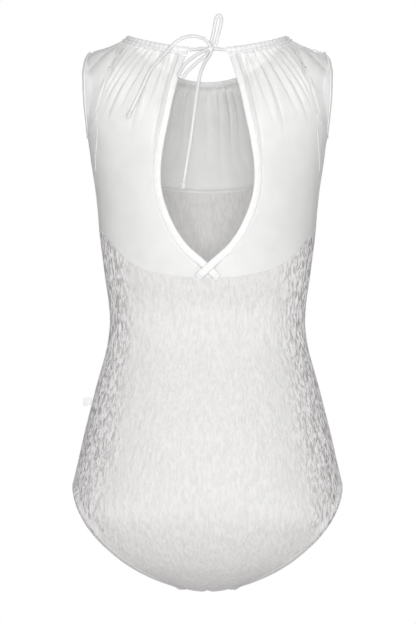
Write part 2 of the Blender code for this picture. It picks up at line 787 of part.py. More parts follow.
def casing_path():
    """Neck edge from the left mouth round the front to the right mouth."""
    left = neckline(1, CASING_MOUTH, 14)
    front = neckline(-1, 0, 40)[::-1]
    left[-1, 1] = 0
    front[0, 1] = front[-1, 1] = 0
    return np.concatenate([left, front[1:-1], mirrored(left)[::-1]])


def build_casing():
    path = casing_path()
    normals = np.array([torso_normals(p, 1 if p[1] >= 0 else -1) for p in path])
    across = sideways(path, normals, WAIST_CORE)
    soft = CASING_ROUNDING
    profile = (
        (0, CASING_PROUD - CASING_WALL / 2 + soft), (soft, CASING_PROUD),
        (CASING_HEIGHT - soft, CASING_PROUD - soft), (CASING_HEIGHT, 0),
        (CASING_HEIGHT - soft, CASING_PROUD - CASING_WALL + soft / 2), (soft, CASING_PROUD - CASING_WALL),
        (0, CASING_PROUD - CASING_WALL / 2 - soft),
    )
    add_band("neck_casing", path, normals, across, profile, BINDING)


def build_keyhole():
    """Two strips that cross at the foot of the keyhole, the right one over the left one."""
    line = keyhole_line(30)
    normals, across = keyhole_frames(line)
    profile = flat_profile(-KEYHOLE_BINDING_WIDTH / 2, KEYHOLE_BINDING_WIDTH, BINDING_WALL, BINDING_PROUD)
    left_over = lengths(line)[-1] - lengths(line)
    rise = np.clip((CROSSING_START - left_over) / CROSSING_RISE, 0, 1)
    rise = rise * rise * (3 - 2 * rise)
    under = line + normals * rise[:, None] * UNDER_LIFT
    over = line + normals * rise[:, None] * OVER_LIFT
    add_band("keyhole_binding_left", under, normals, across, profile, BINDING)
    frames = map(mirrored, (over, normals, across))
    add_band("keyhole_binding_right", *frames, profile, BINDING)


def build_armholes():
    edge = armhole(40)
    normals, across = armhole_frames(edge)
    profile = flat_profile(0, ARMHOLE_BINDING_WIDTH, BINDING_WALL, BINDING_PROUD)
    sides = (("left", (edge, normals, across)), ("right", tuple(map(mirrored, (edge, normals, across)))))
    for name, frames in sides:
        add_band("armhole_binding_" + name, *frames, profile, BINDING, closed=True)


def build_hems():
    back, front = leg_edge(1), leg_edge(-1)
    rings = []
    for k in range(3):
        rings.append(np.concatenate([back[k], front[k][-2:0:-1]]))
    edge, normals, across = rings
    edge[0, 1] = edge[LEG_ROWS, 1] = 0
    profile = flat_profile(0, HEM_WIDTH, HEM_WALL, HEM_PROUD)
    for name, frames in (("left", rings), ("right", [mirrored(ring) for ring in rings])):
        add_band("leg_hem_" + name, *frames, profile, VELVET, closed=True)


def build_label():
    """Tab that stands out of the left side seam."""
    high, low = LABEL_DROPS
    start = float(torso(low, "half_width")) + GAP
    shape = bmesh.new()
    bmesh.ops.create_cube(shape, size=1)
    size = (LABEL_LENGTH, LABEL_WALL, low - high)
    centre = (start + LABEL_LENGTH / 2, 0, -(low + high) / 2)
    for vertex in shape.verts:
        vertex.co = [c + s * v for c, s, v in zip(centre, size, vertex.co)]
        if vertex.co.x < centre[0]:
            vertex.co.x = float(torso(-vertex.co.z, "half_width")) + GAP
    mesh = bpy.data.meshes.new("side_label")
    shape.to_mesh(mesh)
    shape.free()
    mesh.materials.append(material(TAB))
    made = bpy.data.objects.new("side_label", mesh)
    bpy.context.scene.collection.objects.link(made)


def build_tie():
    """Drawstring tied in a bow at the nape."""
    knot = back_route([KNOT_PLACE])[0]
    add_blob("bow_knot", knot, KNOT_SIZE, CORD)
    add_tube("tie_bridge_left", LEFT_BRIDGE, CORD)
    add_tube("tie_bridge_right", RIGHT_BRIDGE, CORD)
    add_tube("tie_loop_upper", UPPER_LOOP, CORD)
    add_tube("tie_loop_lower", LOWER_LOOP, CORD)
    for name, route in (("left", LEFT_TAIL), ("down", DOWN_TAIL)):
        add_tube("tie_tail_" + name, route, CORD)
        path = back_route(route)
        heading = path[-1] - path[-2]
        heading /= np.linalg.norm(heading)
        add_blob("tie_end_" + name, path[-1] + heading * END_KNOT_REACH, END_KNOT_SIZE, CORD)


def main():
    for existing in list(bpy.data.objects):
        bpy.data.objects.remove(existing, do_unlink=True)
    build_body()
    build_yokes()
    build_casing()
    build_keyhole()
    build_armholes()
    build_hems()
    build_label()
    build_tie()


if __name__ == "__main__":
    main()
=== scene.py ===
"""Looks of a white velvet leotard with a sheer gathered yoke, filled out with no wearer."""

from math import asin, cos, pi, radians, sin

import bmesh
import bpy
import numpy as np
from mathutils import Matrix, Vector, noise


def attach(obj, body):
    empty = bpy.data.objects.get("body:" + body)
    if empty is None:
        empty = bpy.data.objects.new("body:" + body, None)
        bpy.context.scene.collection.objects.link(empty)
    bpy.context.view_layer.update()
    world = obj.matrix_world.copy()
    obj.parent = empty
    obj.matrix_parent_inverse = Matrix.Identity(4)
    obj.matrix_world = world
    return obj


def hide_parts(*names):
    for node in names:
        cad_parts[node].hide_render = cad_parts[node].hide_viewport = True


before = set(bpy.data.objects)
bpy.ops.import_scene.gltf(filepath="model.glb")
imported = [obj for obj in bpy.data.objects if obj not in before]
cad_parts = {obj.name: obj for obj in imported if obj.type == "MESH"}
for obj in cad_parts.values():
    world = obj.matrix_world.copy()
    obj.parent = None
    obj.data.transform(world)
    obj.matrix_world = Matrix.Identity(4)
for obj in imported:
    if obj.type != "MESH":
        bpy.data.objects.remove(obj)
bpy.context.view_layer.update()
BODY = "root"

MM = 0.001
GAP = 0.3 * MM
HALF_GAP = GAP / 2
CHORD_EASE = 0.4 * MM
ROUND_EASE = 1.0 * MM
ARMHOLE_EASE = 1.3 * MM
NECK_EASE = 0.65 * MM

VELVET_WALL = 1.4 * MM
MESH_WALL = 1.0 * MM
HEM_WIDTH = 8.0 * MM
HEM_WALL = 2.6 * MM
ARMHOLE_BINDING_WIDTH = 6.0 * MM
KEYHOLE_BINDING_WIDTH = 10.0 * MM
BINDING_WALL = 2.0 * MM
BINDING_PROUD = 0.6 * MM
CASING_HEIGHT = 10.0 * MM
CASING_WALL = 4.6 * MM
CASING_PROUD = 2.4 * MM
UNDER_LIFT = BINDING_WALL - BINDING_PROUD + GAP
OVER_LIFT = UNDER_LIFT + BINDING_WALL + GAP
CORD_DIAMETER = 4.4 * MM

# In a table by side, 1 is the back and -1 the front.
NECK_DROP = {1: 15.0 * MM, -1: 55.0 * MM}
NECK_POWER = {1: 2.0, -1: 1.5}
NECK_HALF_WIDTH = 96.5 * MM
CASING_MOUTH = 23.5 * MM
SHOULDER_END_DROP = 22.0 * MM
UNDERARM_DROP = 120.0 * MM
ARMHOLE_REACH = {1: 42.0 * MM, -1: 46.0 * MM}
YOKE_FOOT = 3.5 * MM
YOKE_FOOT_DROP = 301.0 * MM

BACK_GATHERS = 9
FRONT_GATHERS = 16
COLUMNS_PER_GATHER = 4

# The flat map of the yokes, and how their columns bow out past the underarm.
CHART_TOP = 60.0 * MM
CHART_POWER = 1.25
RIDGE_SHARE = 0.16
UNDERARM_BOW = radians(17)
UNDERARM_SPREAD = 0.2
UNDERARM_LOW = 1.7

HIP_EASE_ROWS = 3.5
HIP_EASE_PASSES = 6
BODY_COLUMNS = 26
LEG_ROWS = 12
LEG_SHARES = np.linspace(0, 1, LEG_ROWS + 1)
BODY_ROWS = 14
ROW_SHARES = {side: np.linspace(0, 1, rows + 1) ** 1.1 for side, rows in ((1, 13), (-1, 8))}

# Points inside the torso that tell in from out: in the leg, at the hip and below the neck.
LEG_CORE = np.array([40.0, 8.0, -560.0]) * MM
HIP_CORE = np.array([0.0, 0.0, -480.0]) * MM
WAIST_CORE = np.array([0.0, 0.0, -400.0]) * MM

# The torso's level sections, from the shoulder line to the hip.
TORSO_COLUMNS = ("drop", "half_width", "back_depth", "front_depth", "squareness")
TORSO_ROWS = (
    (0, 96.5, 54, 50, 2.0), (7, 111, 56.5, 53.5, 2.0),
    (12, 122.5, 58.5, 55.5, 2.05), (15.5, 133.5, 60, 57, 2.1),
    (18.5, 143.5, 62, 58, 2.15), (25, 153.5, 66.5, 60.3, 2.33),
    (40, 161, 76, 64, 2.8), (60, 162, 85, 68, 3.0),
    (80, 160, 91, 74, 3.0), (100, 156, 95, 82, 2.8),
    (120, 151, 97, 90, 2.5), (160, 145, 98.5, 102, 2.3),
    (200, 139, 98, 108, 2.3), (250, 134.5, 93, 108, 2.3),
    (300, 128, 85, 99, 2.3), (359, 122, 77, 89, 2.3),
    (394, 127, 81, 88, 2.25), (429, 137, 91, 90, 2.2),
    (464, 146, 101, 93, 2.15), (500, 155, 111, 94, 2.1),
    (534, 162.5, 116, 93, 2.05), (565, 168, 118, 92, 2.0),
)
TORSO = dict(zip(TORSO_COLUMNS, np.transpose(TORSO_ROWS)))

# The rows of the seat and the crotch strip, from the crotch seam up to the hip: the centre's y and drop,
# the finished leg edge's x, y and drop, and how far each half row turns, in degrees.
LEG_CENTRE_AND_TURN = [0, 1, 5]
LEG_EDGE = [2, 3, 4]
BACK_LEG = (
    (0, 693.5, 36, 0, 690.2, 25), (34, 691.5, 42, 20, 686.3, 32),
    (64, 681.5, 63.5, 42, 678, 42), (87, 665.5, 85, 57, 667.5, 50),
    (103, 644, 105.5, 65, 654.5, 58), (111.5, 621.5, 126, 68, 637.5, 66),
    (116, 600, 143.5, 66, 619.5, 74), (118, 584, 154.8, 57, 603, 80),
    (118.5, 571, 163.3, 42, 585.5, 85), (118, 560, 167.2, 22, 571.2, 88),
    (117, 551, 168, 0, 566, 90),
)
FRONT_LEG = (
    (0, 693.5, 36, 0, 690.2, 25), (-32, 688.5, 37, -22, 686, 28),
    (-58, 673, 46, -42, 675, 34), (-75, 649.5, 68, -58, 655, 46),
    (-84, 622, 98, -65, 630, 60), (-89, 595, 130, -59, 604, 72),
    (-91, 575, 154, -43, 583, 81), (-92, 562, 166, -21, 570, 87),
    (-92.5, 551, 168, 0, 566, 90),
)
LEG = {1: np.array(BACK_LEG), -1: np.array(FRONT_LEG)}

# The seams where the yokes meet the velvet: angle from the centre to the side seam, and drop.
SEAM = {
    1: ((0, 301.5), (14, 300), (24, 296), (36, 290), (45, 282),
        (56, 267.5), (69, 249), (78, 240), (90, 235)),
    -1: ((0, 190), (14, 187.5), (28, 182.5), (50, 173), (70, 165), (90, 162)),
}

# The centre line of the left keyhole binding, past the crossing to its end under the seam: x and drop.
CROSSING_START = 42.0 * MM
CROSSING_RISE = 18.0 * MM
KEYHOLE = (
    (32.2, 25), (41, 52), (53, 104), (60, 140), (63, 172), (60.8, 197), (54.2, 219), (44.3, 241),
    (30.3, 261.7), (3.3, 285.7), (-9, 297),
)

# The tie's routes: x, how far outside the back it lies, and drop.
KNOT_PLACE = (-3.5, 5.0, 16.5)
LEFT_BRIDGE = ((22.6, -0.3, 17.5), (15, 1.5, 17), (7, 4, 16.3), (3.4, 5, 16.2), (0, 5, 16.3))
RIGHT_BRIDGE = ((-22.6, -0.3, 17.5), (-19, 0.8, 17.2), (-14, 3, 16.8), (-10.4, 4.5, 16.6), (-7, 5, 16.5))
UPPER_LOOP = (
    (-3.8, 5, 13.5), (-4.4, 5.2, 10.6), (-5.8, 5.6, 4), (-7.6, 5.8, -5), (-9.2, 5.6, -14), (-11, 5.4, -22),
    (-14.2, 5.2, -25.6), (-17, 5.2, -22.5), (-16.4, 5.6, -14), (-14.4, 6, -5), (-12, 6.2, 4),
    (-9.9, 6.2, 11.4), (-7.4, 5.4, 14.4),
)
LOWER_LOOP = (
    (-0.5, 6, 17.2), (4, 7.2, 19), (10, 8.2, 22), (18, 8, 27.5), (26, 7.6, 34), (32.4, 7.2, 43),
    (35.4, 7, 50.6), (31.4, 7, 52.4), (26.5, 7.4, 47), (19.5, 8, 39.8), (12, 8.2, 33),
    (5.6, 8.4, 27.8), (2, 8.8, 24.6), (-0.4, 8.6, 20.6),
)
LEFT_TAIL = (
    (-3.2, 12.1, 12.8), (2.6, 11.2, 5.4), (8.5, 8.4, 2.6), (19, 7, 0.8), (29.6, 5.8, 2.6), (39.6, 5.4, 8.4),
    (50.2, 5.2, 19.4), (61, 5, 31.6), (70.8, 4.6, 43.4), (78.6, 4.4, 59.6), (86.2, 4.2, 76),
    (95.2, 4, 94.6),
)
DOWN_TAIL = (
    (-4.4, 2.8, 20), (-3.2, 1.2, 24), (1.6, 1, 31), (7.3, 1.6, 43), (13, 1, 71), (17.4, 0, 104),
    (22.6, -0.6, 140), (29.2, -0.8, 181),
)
END_KNOT_REACH = 4.6 * MM

# The blank tab in the left side seam.
LABEL_DROPS = (450 * MM, 460.5 * MM)
LABEL_LENGTH = 11 * MM
LABEL_WALL = 1.2 * MM

# The camera, the floor and the lights.  One pixel of the photograph is 1.25 mm.
SENSOR = 36.0
CAMERA_DISTANCE = 12.0
CAMERA_CLIP = 60.0
FRAME_HEIGHT = 624 * 1.25 * MM
CAMERA_X = -0.6 * MM
CAMERA_Z = -(312 - 37) * 1.25 * MM
FLOOR_Z = -0.86
FLOOR_RADIUS = 3.2
FLOOR_SIDES = 96
FLOOR_TONES = ((0.3, (0.94, 0.94, 0.94)), (0.7, (0.95, 0.95, 0.95)))
FILL_COLOUR = (0.985, 0.99, 1, 1)
FILL_STRENGTH = 0.33
LIGHTS = (  # name, place, size and power
    ("key_back", (0.0, 3.2, 0.2), 1.6, 78.0),
    ("key_front", (-0.5, -3.2, 0.6), 1.6, 58.0),
    ("top", (0.0, 0.0, 2.4), 1.4, 8.0),
)

# The velvet's own tones where it faces the camera, its tones with painted shade under the seat, and with
# painted shade and painted highlights where it turns to the side.
VELVET_TONES_WITH_PAINTED_LIGHT = (
    ((0.34, (0.615, 0.608, 0.60)), (0.60, (0.69, 0.683, 0.676))),
    ((0.34, (0.545, 0.525, 0.522)), (0.60, (0.63, 0.612, 0.608))),
    ((0.40, (0.29, 0.268, 0.268)), (0.57, (0.95, 0.925, 0.927))),
)
MESH_TONES = ((0.3, (0.87, 0.87, 0.86)), (0.7, (0.92, 0.92, 0.91)))
MESH_ALPHA = 0.54
FRONT_MESH_ALPHA = 0.86
# The front mesh is drawn darker than the back as painted shade for the garment's inside; the seam allowances
# take the same darker mesh.
FRONT_MESH_PAINTED_SHADE = 0.87

# The smooth trims: darker tone, lighter tone, rib scale and rib strength.
CORD_CLOTH = ((0.68, 0.68, 0.677), (0.74, 0.74, 0.736), 900, 0.3)
BINDING_CLOTH = ((0.73, 0.73, 0.727), (0.78, 0.78, 0.776), 700, 0.25)
THREAD_CLOTH = ((0.62, 0.62, 0.617), (0.68, 0.68, 0.676), 2000, 0.2)
TAB_CLOTH = ((0.70, 0.69, 0.71), (0.76, 0.75, 0.77), 1400, 0.2)
RIB_TURN = radians(38)

# The velvet's relief, in steps per metre along each axis, and the notch at the middle of the crotch.
VELVET_FINE = (170, 170)
CRUSH_HEIGHT = 0.22 * MM
CRUSH_SCALE = (190, 190, 85)
CRUSH_NOISE = (0.8, 2.1, 3)
WAVER_HEIGHT = 0.35 * MM
WAVER_SCALE = (38, 38, 22)
WAVER_SHIFT = (7, 0, 0)
SMOOTH_ROWS = 4
NOTCH_WIDTH = 3.5 * MM
NOTCH_TOP = -0.684
NOTCH_TALL = 6.0 * MM
NOTCH_DEPTH = 1.8 * MM

# The gathers.
BACK_PLEATS = 13
FRONT_PLEATS = 30
BACK_YOKE_FINE = (70, 216)
FRONT_YOKE_FINE = (56, 448)
PLEAT_HEIGHT = 3.2 * MM
FRONT_PLEAT_HEIGHT = 1.7 * MM
PLEAT_REACH = 130 * MM
PLEAT_VALLEY = 1.3
DRIFTS = (-0.25, 0.25)
HEIGHTS = (0.6, 1.2)
REACHES = (0.5, 1.3)
FINE_HEIGHT = 0.3
FINE_PITCH = 2.35
FINE_REACH = 0.35
SEAM_PRESS = 0.15
PRESS_REACH = 9 * MM
BARE_SHARE = 0.3
YOKE_CLOTH = MESH_WALL * 0.7
TUCKS = {"top": (5.0 * MM, 2.2 * MM), "bottom": (4.5 * MM, 1.6 * MM), "first": (4.0 * MM, 1.0 * MM)}

# The flat cuts: piece, node, side, size and cloth area.
VELVET_CUTS = (
    ("back_velvet", "back_body", 1, (0.46, 0.62), 0.15),
    ("front_velvet", "front_body", -1, (0.43, 0.68), 0.174),
)

# The casing's section past its tube: how far down, and its shares of the tube, the flat and the pucker.
CASING_COUNT = 360
CASING_TUBE = 2.2 * MM
CASING_TUBE_REACH = 3.0 * MM
CASING_FLAT = 0.9 * MM
CASING_SECTION = (
    (5.0, 0.8, 0, 0), (6.6, 0, 1, 0.2), (7.6, 0, 0.6, 0), (8.8, 0, 1, 0.8), (10.4, 0, 0.5, 1),
    (11.2, 0, -0.5, 0), (9.9, 0, -1, 0), (7.4, 0, -1, 0), (5.2, -0.7, 0, 0),
)
PUCKER_HEIGHT = 0.9 * MM
PUCKER_PITCH = 6.0 * MM
PUCKER_DRIFT = 1.7
PUCKER_DRIFT_REACH = 23 * MM

# Rows of stitches: their pitch, length and thread, and their lift.  A stitch is a tube through rings.
CASING_STITCH = ((2.9 * MM, 2.0 * MM, 0.42 * MM), 0.1 * MM)
TRIM_STITCH = ((2.7 * MM, 1.9 * MM, 0.36 * MM), BINDING_PROUD + 0.05 * MM)
HEM_STITCH = ((3.0 * MM, 2.1 * MM, 0.4 * MM), 0.5 * MM)
STITCH_RINGS = ((-0.5, 0.35), (-0.3, 1.0), (0.3, 1.0), (0.5, 0.35))
STITCH_SIDES = 6
STITCH_AHEAD = 0.2 * MM

# The knots, in millimetres: each wrap's shift, axis, radius, turns, pitch and first turn.
WRAPS = (
    ((0.2, 1.2, 0), (0.75, 0.1, 0.65), 3.1, 1.3, 3.2, 2.2),
    ((-0.6, 0, 0.4), (-0.6, 0.2, 0.8), 2.6, 0.9, 3.0, 0.6),
)
WRAP_RADIUS = 2.2 * MM
END_WRAP_RADIUS = 1.75 * MM
END_WRAP = (END_WRAP_RADIUS, 1.25, 1.7 * MM, 0.4)
END_LEAN = (0.35, 0.1, 0.1)
END_CORE = ((-4,), (0,), (3,), (5.2,))
END_CORE_RADIUS = 1.7 * MM
KNOT_SIDES = 12

# The cords as drawn: name, route, points, the solids that it stands for, what it ends on and length.
CORDS = (
    ("tie_loop_lower", LEFT_BRIDGE[:-1] + ((-1.5, 5.4, 16.6), (-0.6, 6.6, 17.6)) + LOWER_LOOP[1:], 90,
     ("tie_loop_lower", "tie_bridge_left"), "object", 0.135),
    ("tie_loop_upper", RIGHT_BRIDGE[:-1] + ((-6.6, 5.6, 16.2), (-4.6, 5.8, 14.6)) + UPPER_LOOP[1:], 90,
     ("tie_loop_upper", "tie_bridge_right"), "object", 0.105),
    ("tie_tail_left", ((-4.2, 8.4, 15.8),) + LEFT_TAIL, 90, ("tie_tail_left",), "knot", 0.164),
    ("tie_tail_down", DOWN_TAIL, 80, ("tie_tail_down",), "knot", 0.172),
)


def spline(knots, values, at):
    """Smooth curve through the values, read at one place or at several."""
    knots, values, at = (np.asarray(part, float) for part in (knots, values, at))
    inner = (1,) * (values.ndim - 1)
    steps = np.diff(knots).reshape((-1,) + inner)
    slopes = np.diff(values, axis=0) / steps
    before, after = steps[:-1], steps[1:]
    middle = (slopes[:-1] * after + slopes[1:] * before) / (before + after)
    tangents = np.concatenate([slopes[:1], middle, slopes[-1:]])
    index = np.clip(np.searchsorted(knots, at, side="right") - 1, 0, len(knots) - 2)
    length = steps[index]
    u = (at - knots[index]).reshape(at.shape + inner) / length
    start = values[index] * (2 * u**3 - 3 * u**2 + 1)
    end = values[index + 1] * (3 * u**2 - 2 * u**3)
    leave = tangents[index] * (u**3 - 2 * u**2 + u) * length
    arrive = tangents[index + 1] * (u**3 - u**2) * length
    return start + end + leave + arrive


def unit(vectors):
    return vectors / np.linalg.norm(vectors, axis=-1, keepdims=True)


def torso(drop, name):
    """One size of the torso's level section at a drop."""
    size = 1.0 if name == "squareness" else MM
    return spline(TORSO["drop"] * MM, TORSO[name] * size, drop)


def depth(drop, side):
    return torso(drop, "back_depth" if side > 0 else "front_depth")


def section_point(angle, drop, side):
    """Point on the level section, by angle from the centre to the side seam."""
    power = 2 / torso(drop, "squareness")
    across = np.sign(angle) * np.abs(np.sin(angle)) ** power
    out = np.abs(np.cos(angle)) ** power
    x = torso(drop, "half_width") * across
    y = side * (HALF_GAP + depth(drop, side) * out)
    return np.stack([x, y, -drop + 0 * x], axis=-1)


def level(points, side, gap=0.0):
    """How far out points lie, with 1 on the torso, and the power that it grows by."""
    drop = -points[..., 2]
    power = torso(drop, "squareness")
    share_x = np.abs(points[..., 0]) / torso(drop, "half_width")
    share_y = np.maximum(np.abs(points[..., 1]) - gap, 0) / depth(drop, side)
    return share_x**power + share_y**power, power


def onto_torso(points, side):
    """Points moved level with themselves onto the torso."""
    out, power = level(points, side)
    scale = out ** (-1 / power)
    y = side * np.maximum(np.abs(points[..., 1]) * scale, HALF_GAP)
    return np.stack([points[..., 0] * scale, y, points[..., 2]], axis=-1)


def at_x(x, drop, side):
    """Point on the torso at a distance from the middle."""
    power = torso(drop, "squareness")
    share = np.clip(np.abs(x) / torso(drop, "half_width"), 0, 1)
    y = side * (HALF_GAP + depth(drop, side) * (1 - share**power) ** (1 / power))
    return np.stack([x + 0 * drop, y, -drop + 0 * x], axis=-1)


def torso_normals(points, side):
    """Unit directions straight out of the torso."""
    slopes = []
    for shift in np.eye(3) * 0.05 * MM:
        slopes.append(level(points + shift, side, HALF_GAP)[0] - level(points - shift, side, HALF_GAP)[0])
    normals = np.stack(slopes, axis=-1)
    normals[..., 1] *= np.abs(points[..., 1]) > 2 * HALF_GAP
    return unit(normals)


def lengths(points):
    steps = np.linalg.norm(np.diff(points, axis=0), axis=1)
    return np.concatenate([[0], np.cumsum(steps)])


def at_run(run, values, places):
    """Values at distances along a path."""
    return np.stack([np.interp(places, run, values[:, k]) for k in range(3)], axis=-1)


def along(points, shares):
    """Places on a path at shares of its length."""
    run = lengths(points)
    return at_run(run, points, shares * run[-1])


def evenly(points, count):
    """The same path with evenly spaced points."""
    return along(points, np.linspace(0, 1, count))


def directions(points):
    """Unit tangents along a path."""
    return unit(np.gradient(points, axis=0))


def facing(vectors, way):
    """The vectors, with those turned round that point against the given way."""
    return np.where(np.sum(vectors * way, axis=1, keepdims=True) < 0, -vectors, vectors)


def sideways(points, normals, towards):
    """Unit directions across a path in its surface, towards a point."""
    return facing(unit(np.cross(normals, directions(points))), towards - points)


def mirrored(points):
    return points * np.array([-1.0, 1.0, 1.0])


def grid_normals(grid):
    """Unit normals of a grid of points, out of the garment."""
    normals = np.cross(np.gradient(grid, axis=1), np.gradient(grid, axis=0))
    normals[..., 1][np.abs(grid[..., 1]) < 2 * HALF_GAP] = 0
    normals = unit(normals)
    middle = (grid.shape[0] // 2, grid.shape[1] // 2)
    inside = np.dot(normals[middle], grid[middle] * (1, 1, 0)) < 0
    return -normals if inside else normals


def back_route(route):
    """Places of a route that is given by x, how far outside the back it lies, and drop."""
    x, outside, drop = np.array(route, float).T * MM
    places = at_x(x, np.maximum(drop, NECK_DROP[1]), 1)
    places[:, 1] += outside
    places[:, 2] = -drop
    return places


def seam_drop(angle, side):
    knots, drops = np.array(SEAM[side], float).T
    return spline(knots, drops * MM, np.degrees(np.abs(angle)))


def seam_points(angles, side):
    return section_point(angles, seam_drop(angles, side), side)


def leg_edge(side):
    """Finished leg edge of one side, its outward normals and the directions into the cloth."""
    edge = LEG[side][:, LEG_EDGE] * (MM, MM, -MM)
    knots = lengths(edge)
    points = spline(knots / knots[-1], edge, LEG_SHARES)
    points[[0, -1], 1] = side * HALF_GAP
    tangents = directions(points)
    tangents[[0, -1]] = (0, 1, 0)
    normals = points - LEG_CORE
    normals = unit(normals - tangents * np.sum(normals * tangents, axis=1, keepdims=True))
    across = facing(np.cross(normals, tangents), HIP_CORE - points)
    normals[[0, -1]] = (0, 0, -1), (1, 0, 0)
    across[[0, -1]] = (-1, 0, 0), (0, 0, 1)
    return points, normals, across


def body_grid(side):
    """Outer points of a velvet panel, from the crotch seam up to the yoke seam."""
    edge, _, across = leg_edge(side)
    edge = edge + across * (HEM_WIDTH + GAP + ROUND_EASE)
    knots = lengths(LEG[side][:, LEG_EDGE])
    centre_y, centre_drop, sweep = spline(knots / knots[-1], LEG[side][:, LEG_CENTRE_AND_TURN], LEG_SHARES).T
    centre_y = side * np.maximum(side * centre_y * MM, HALF_GAP)
    turn = np.linspace(-1, 1, BODY_COLUMNS + 1)
    grid = []
    for reach, y, z, turned in zip(edge, centre_y, -centre_drop * MM, turn * np.radians(sweep)[:, None]):
        fall = (1 - np.cos(turned)) / (1 - np.cos(turned[-1]))
        x = reach[0] * np.sin(turned) / np.sin(turned[-1])
        grid.append(np.stack([x, y + (reach[1] - y) * fall, z + (reach[2] - z) * fall], axis=1))
    angle = turn * pi / 2
    hip = -grid[-1][:, 2]
    top = seam_drop(angle, side) + GAP + CHORD_EASE
    for share in np.linspace(0, 1, BODY_ROWS + 1)[1:]:
        grid.append(section_point(angle, hip + (top - hip) * share, side))
    return eased(np.array(grid))


def eased(grid):
    """The panel with the rows next to its hip drawn between their neighbours."""
    fall = np.arange(len(grid)) - LEG_ROWS
    share = 0.5 * np.exp(-((fall / HIP_EASE_ROWS) ** 2))[1:-1, None, None]
    for _ in range(HIP_EASE_PASSES):
        middle = (grid[2:, 1:-1] + grid[:-2, 1:-1]) / 2
        grid[1:-1, 1:-1] += share * (middle - grid[1:-1, 1:-1])
    return grid


def neckline(side, mouth, count):
    """Finished neck edge, from one shoulder or mouth of the casing to the other."""
    widest = pi / 2
    start = asin(mouth / NECK_HALF_WIDTH) if mouth else -widest
    angle = np.linspace(start, widest, count)
    drop = NECK_DROP[side] * np.cos(angle) ** NECK_POWER[side]
    return evenly(at_x(NECK_HALF_WIDTH * np.sin(angle), drop, side), count)


def armhole(count):
    """Finished edge of the left armhole, from the shoulder round the back to the shoulder."""
    angle = np.linspace(0, 2 * pi, count, endpoint=False)
    middle = (SHOULDER_END_DROP + UNDERARM_DROP) / 2
    drop = middle - (UNDERARM_DROP - SHOULDER_END_DROP) / 2 * np.cos(angle)
    points = []
    for turn, level in zip(angle, drop):
        side = 1 if sin(turn) > -1e-6 else -1
        y = abs(sin(turn)) * ARMHOLE_REACH[side]
        power = torso(level, "squareness")
        share = (1 - (y / depth(level, side)) ** power) ** (1 / power)
        points.append((torso(level, "half_width") * share, side * y, -level))
    return np.array(points)


def edge_normals(points):
    """Normals of the torso along an edge that runs over its back and its front."""
    return np.array([torso_normals(p, 1 if p[1] >= 0 else -1) for p in points])


def armhole_frames(points):
    normals = edge_normals(points)
    tangents = np.roll(points, -1, axis=0) - np.roll(points, 1, axis=0)
    return normals, facing(unit(np.cross(normals, unit(tangents))), points - points.mean(axis=0))


def armhole_seam(side, count):
    """Where the yoke meets the armhole binding, from the shoulder down to the side seam."""
    edge = armhole(160)
    normals, across = armhole_frames(edge)
    seam = edge + across * (ARMHOLE_BINDING_WIDTH + GAP + ARMHOLE_EASE)
    half = len(edge) // 2
    if side > 0:
        chosen = seam[:half + 1]
    else:
        chosen = np.concatenate([seam[:1], seam[:half - 1:-1]])
    chosen[:, 1] = side * np.abs(chosen[:, 1])
    return evenly(onto_torso(chosen, side), count)


def chart(points):
    """Flat map of the yokes: turned distance from the middle, and drop."""
    drop = -points[..., 2]
    widest = torso(np.maximum(drop, CHART_TOP), "half_width")
    share = np.clip(np.abs(points[..., 0]) / widest, 0, 1)
    turn = np.sign(points[..., 0]) * np.arcsin(share**CHART_POWER)
    return np.stack([turn, drop], axis=-1)


def from_chart(flat, side):
    turn, drop = flat[..., 0], flat[..., 1]
    widest = torso(np.maximum(drop, CHART_TOP), "half_width")
    x = np.sign(turn) * widest * np.abs(np.sin(turn)) ** (1 / CHART_POWER)
    return at_x(x, drop, side)


def fan(inner, outer, left, right, side, underarms):
    """Grid between the neck seam and the outer seams, whose columns follow the gathers."""
    c = np.linspace(0, 1, len(inner))[None, :, None]
    r = (lengths(left) / lengths(left)[-1])[:, None, None]
    flat = patch(*map(chart, (inner, outer, left, right)), c, r)
    lean = np.zeros_like(flat[..., :1])
    for share, way in zip(underarms, (-1, 1)[-len(underarms):]):
        lean += way * np.exp(-(((c - share) / UNDERARM_SPREAD) ** 2))
    flat[..., :1] -= UNDERARM_BOW * lean * np.sin(pi * r**UNDERARM_LOW)
    flat = from_chart(flat, side)
    direct = onto_torso(patch(inner, outer, left, right, c, r), side)
    from_ridge = 1 - c if side > 0 else np.minimum(c, 1 - c)
    share = np.clip(1 - from_ridge / RIDGE_SHARE, 0, 1)
    grid = onto_torso(flat * (1 - share) + direct * share, side)
    grid[0], grid[-1], grid[:, 0], grid[:, -1] = inner, outer, left, right
    return grid


def patch(near, far, first, last, c, r):
    """Points between four edges, each a blend of the edges beside it."""
    ruled = (1 - r) * near[None] + r * far[None]
    sides = (1 - c) * first[:, None] + c * last[:, None]
    corners = (1 - r) * ((1 - c) * near[0] + c * near[-1]) + r * ((1 - c) * far[0] + c * far[-1])
    return ruled + sides - corners


def shoulder_seam(start, end, side):
    """Shoulder seam from the neck seam to the armhole seam, level by level."""
    drop = -np.linspace(start[2], end[2], 40)
    x = torso(drop, "half_width")
    points = np.stack([x, side * HALF_GAP + 0 * x, -drop], axis=1)
    seam = along(points, ROW_SHARES[side])
    seam[0], seam[-1] = start, end
    return seam


def neck_seam(side, mouth, count):
    """Where the yoke meets the casing."""
    edge = neckline(side, mouth, 120)
    normals = torso_normals(edge, side)
    across = sideways(edge, normals, WAIST_CORE)
    if not mouth:
        across[0] = mirrored(across[-1])
    seam = edge + across * (CASING_HEIGHT + GAP + NECK_EASE)
    seam = onto_torso(seam, side)
    seam[-1, 1] = side * HALF_GAP
    if not mouth:
        seam[0, 1] = side * HALF_GAP
    return evenly(seam, count)


def keyhole_line(count):
    """Centre line of the left keyhole binding on the back."""
    flat = np.array(KEYHOLE) * MM
    run = lengths(flat)
    x, drop = spline(run, flat, np.linspace(0, run[-1], count)).T
    return at_x(x, drop, 1)


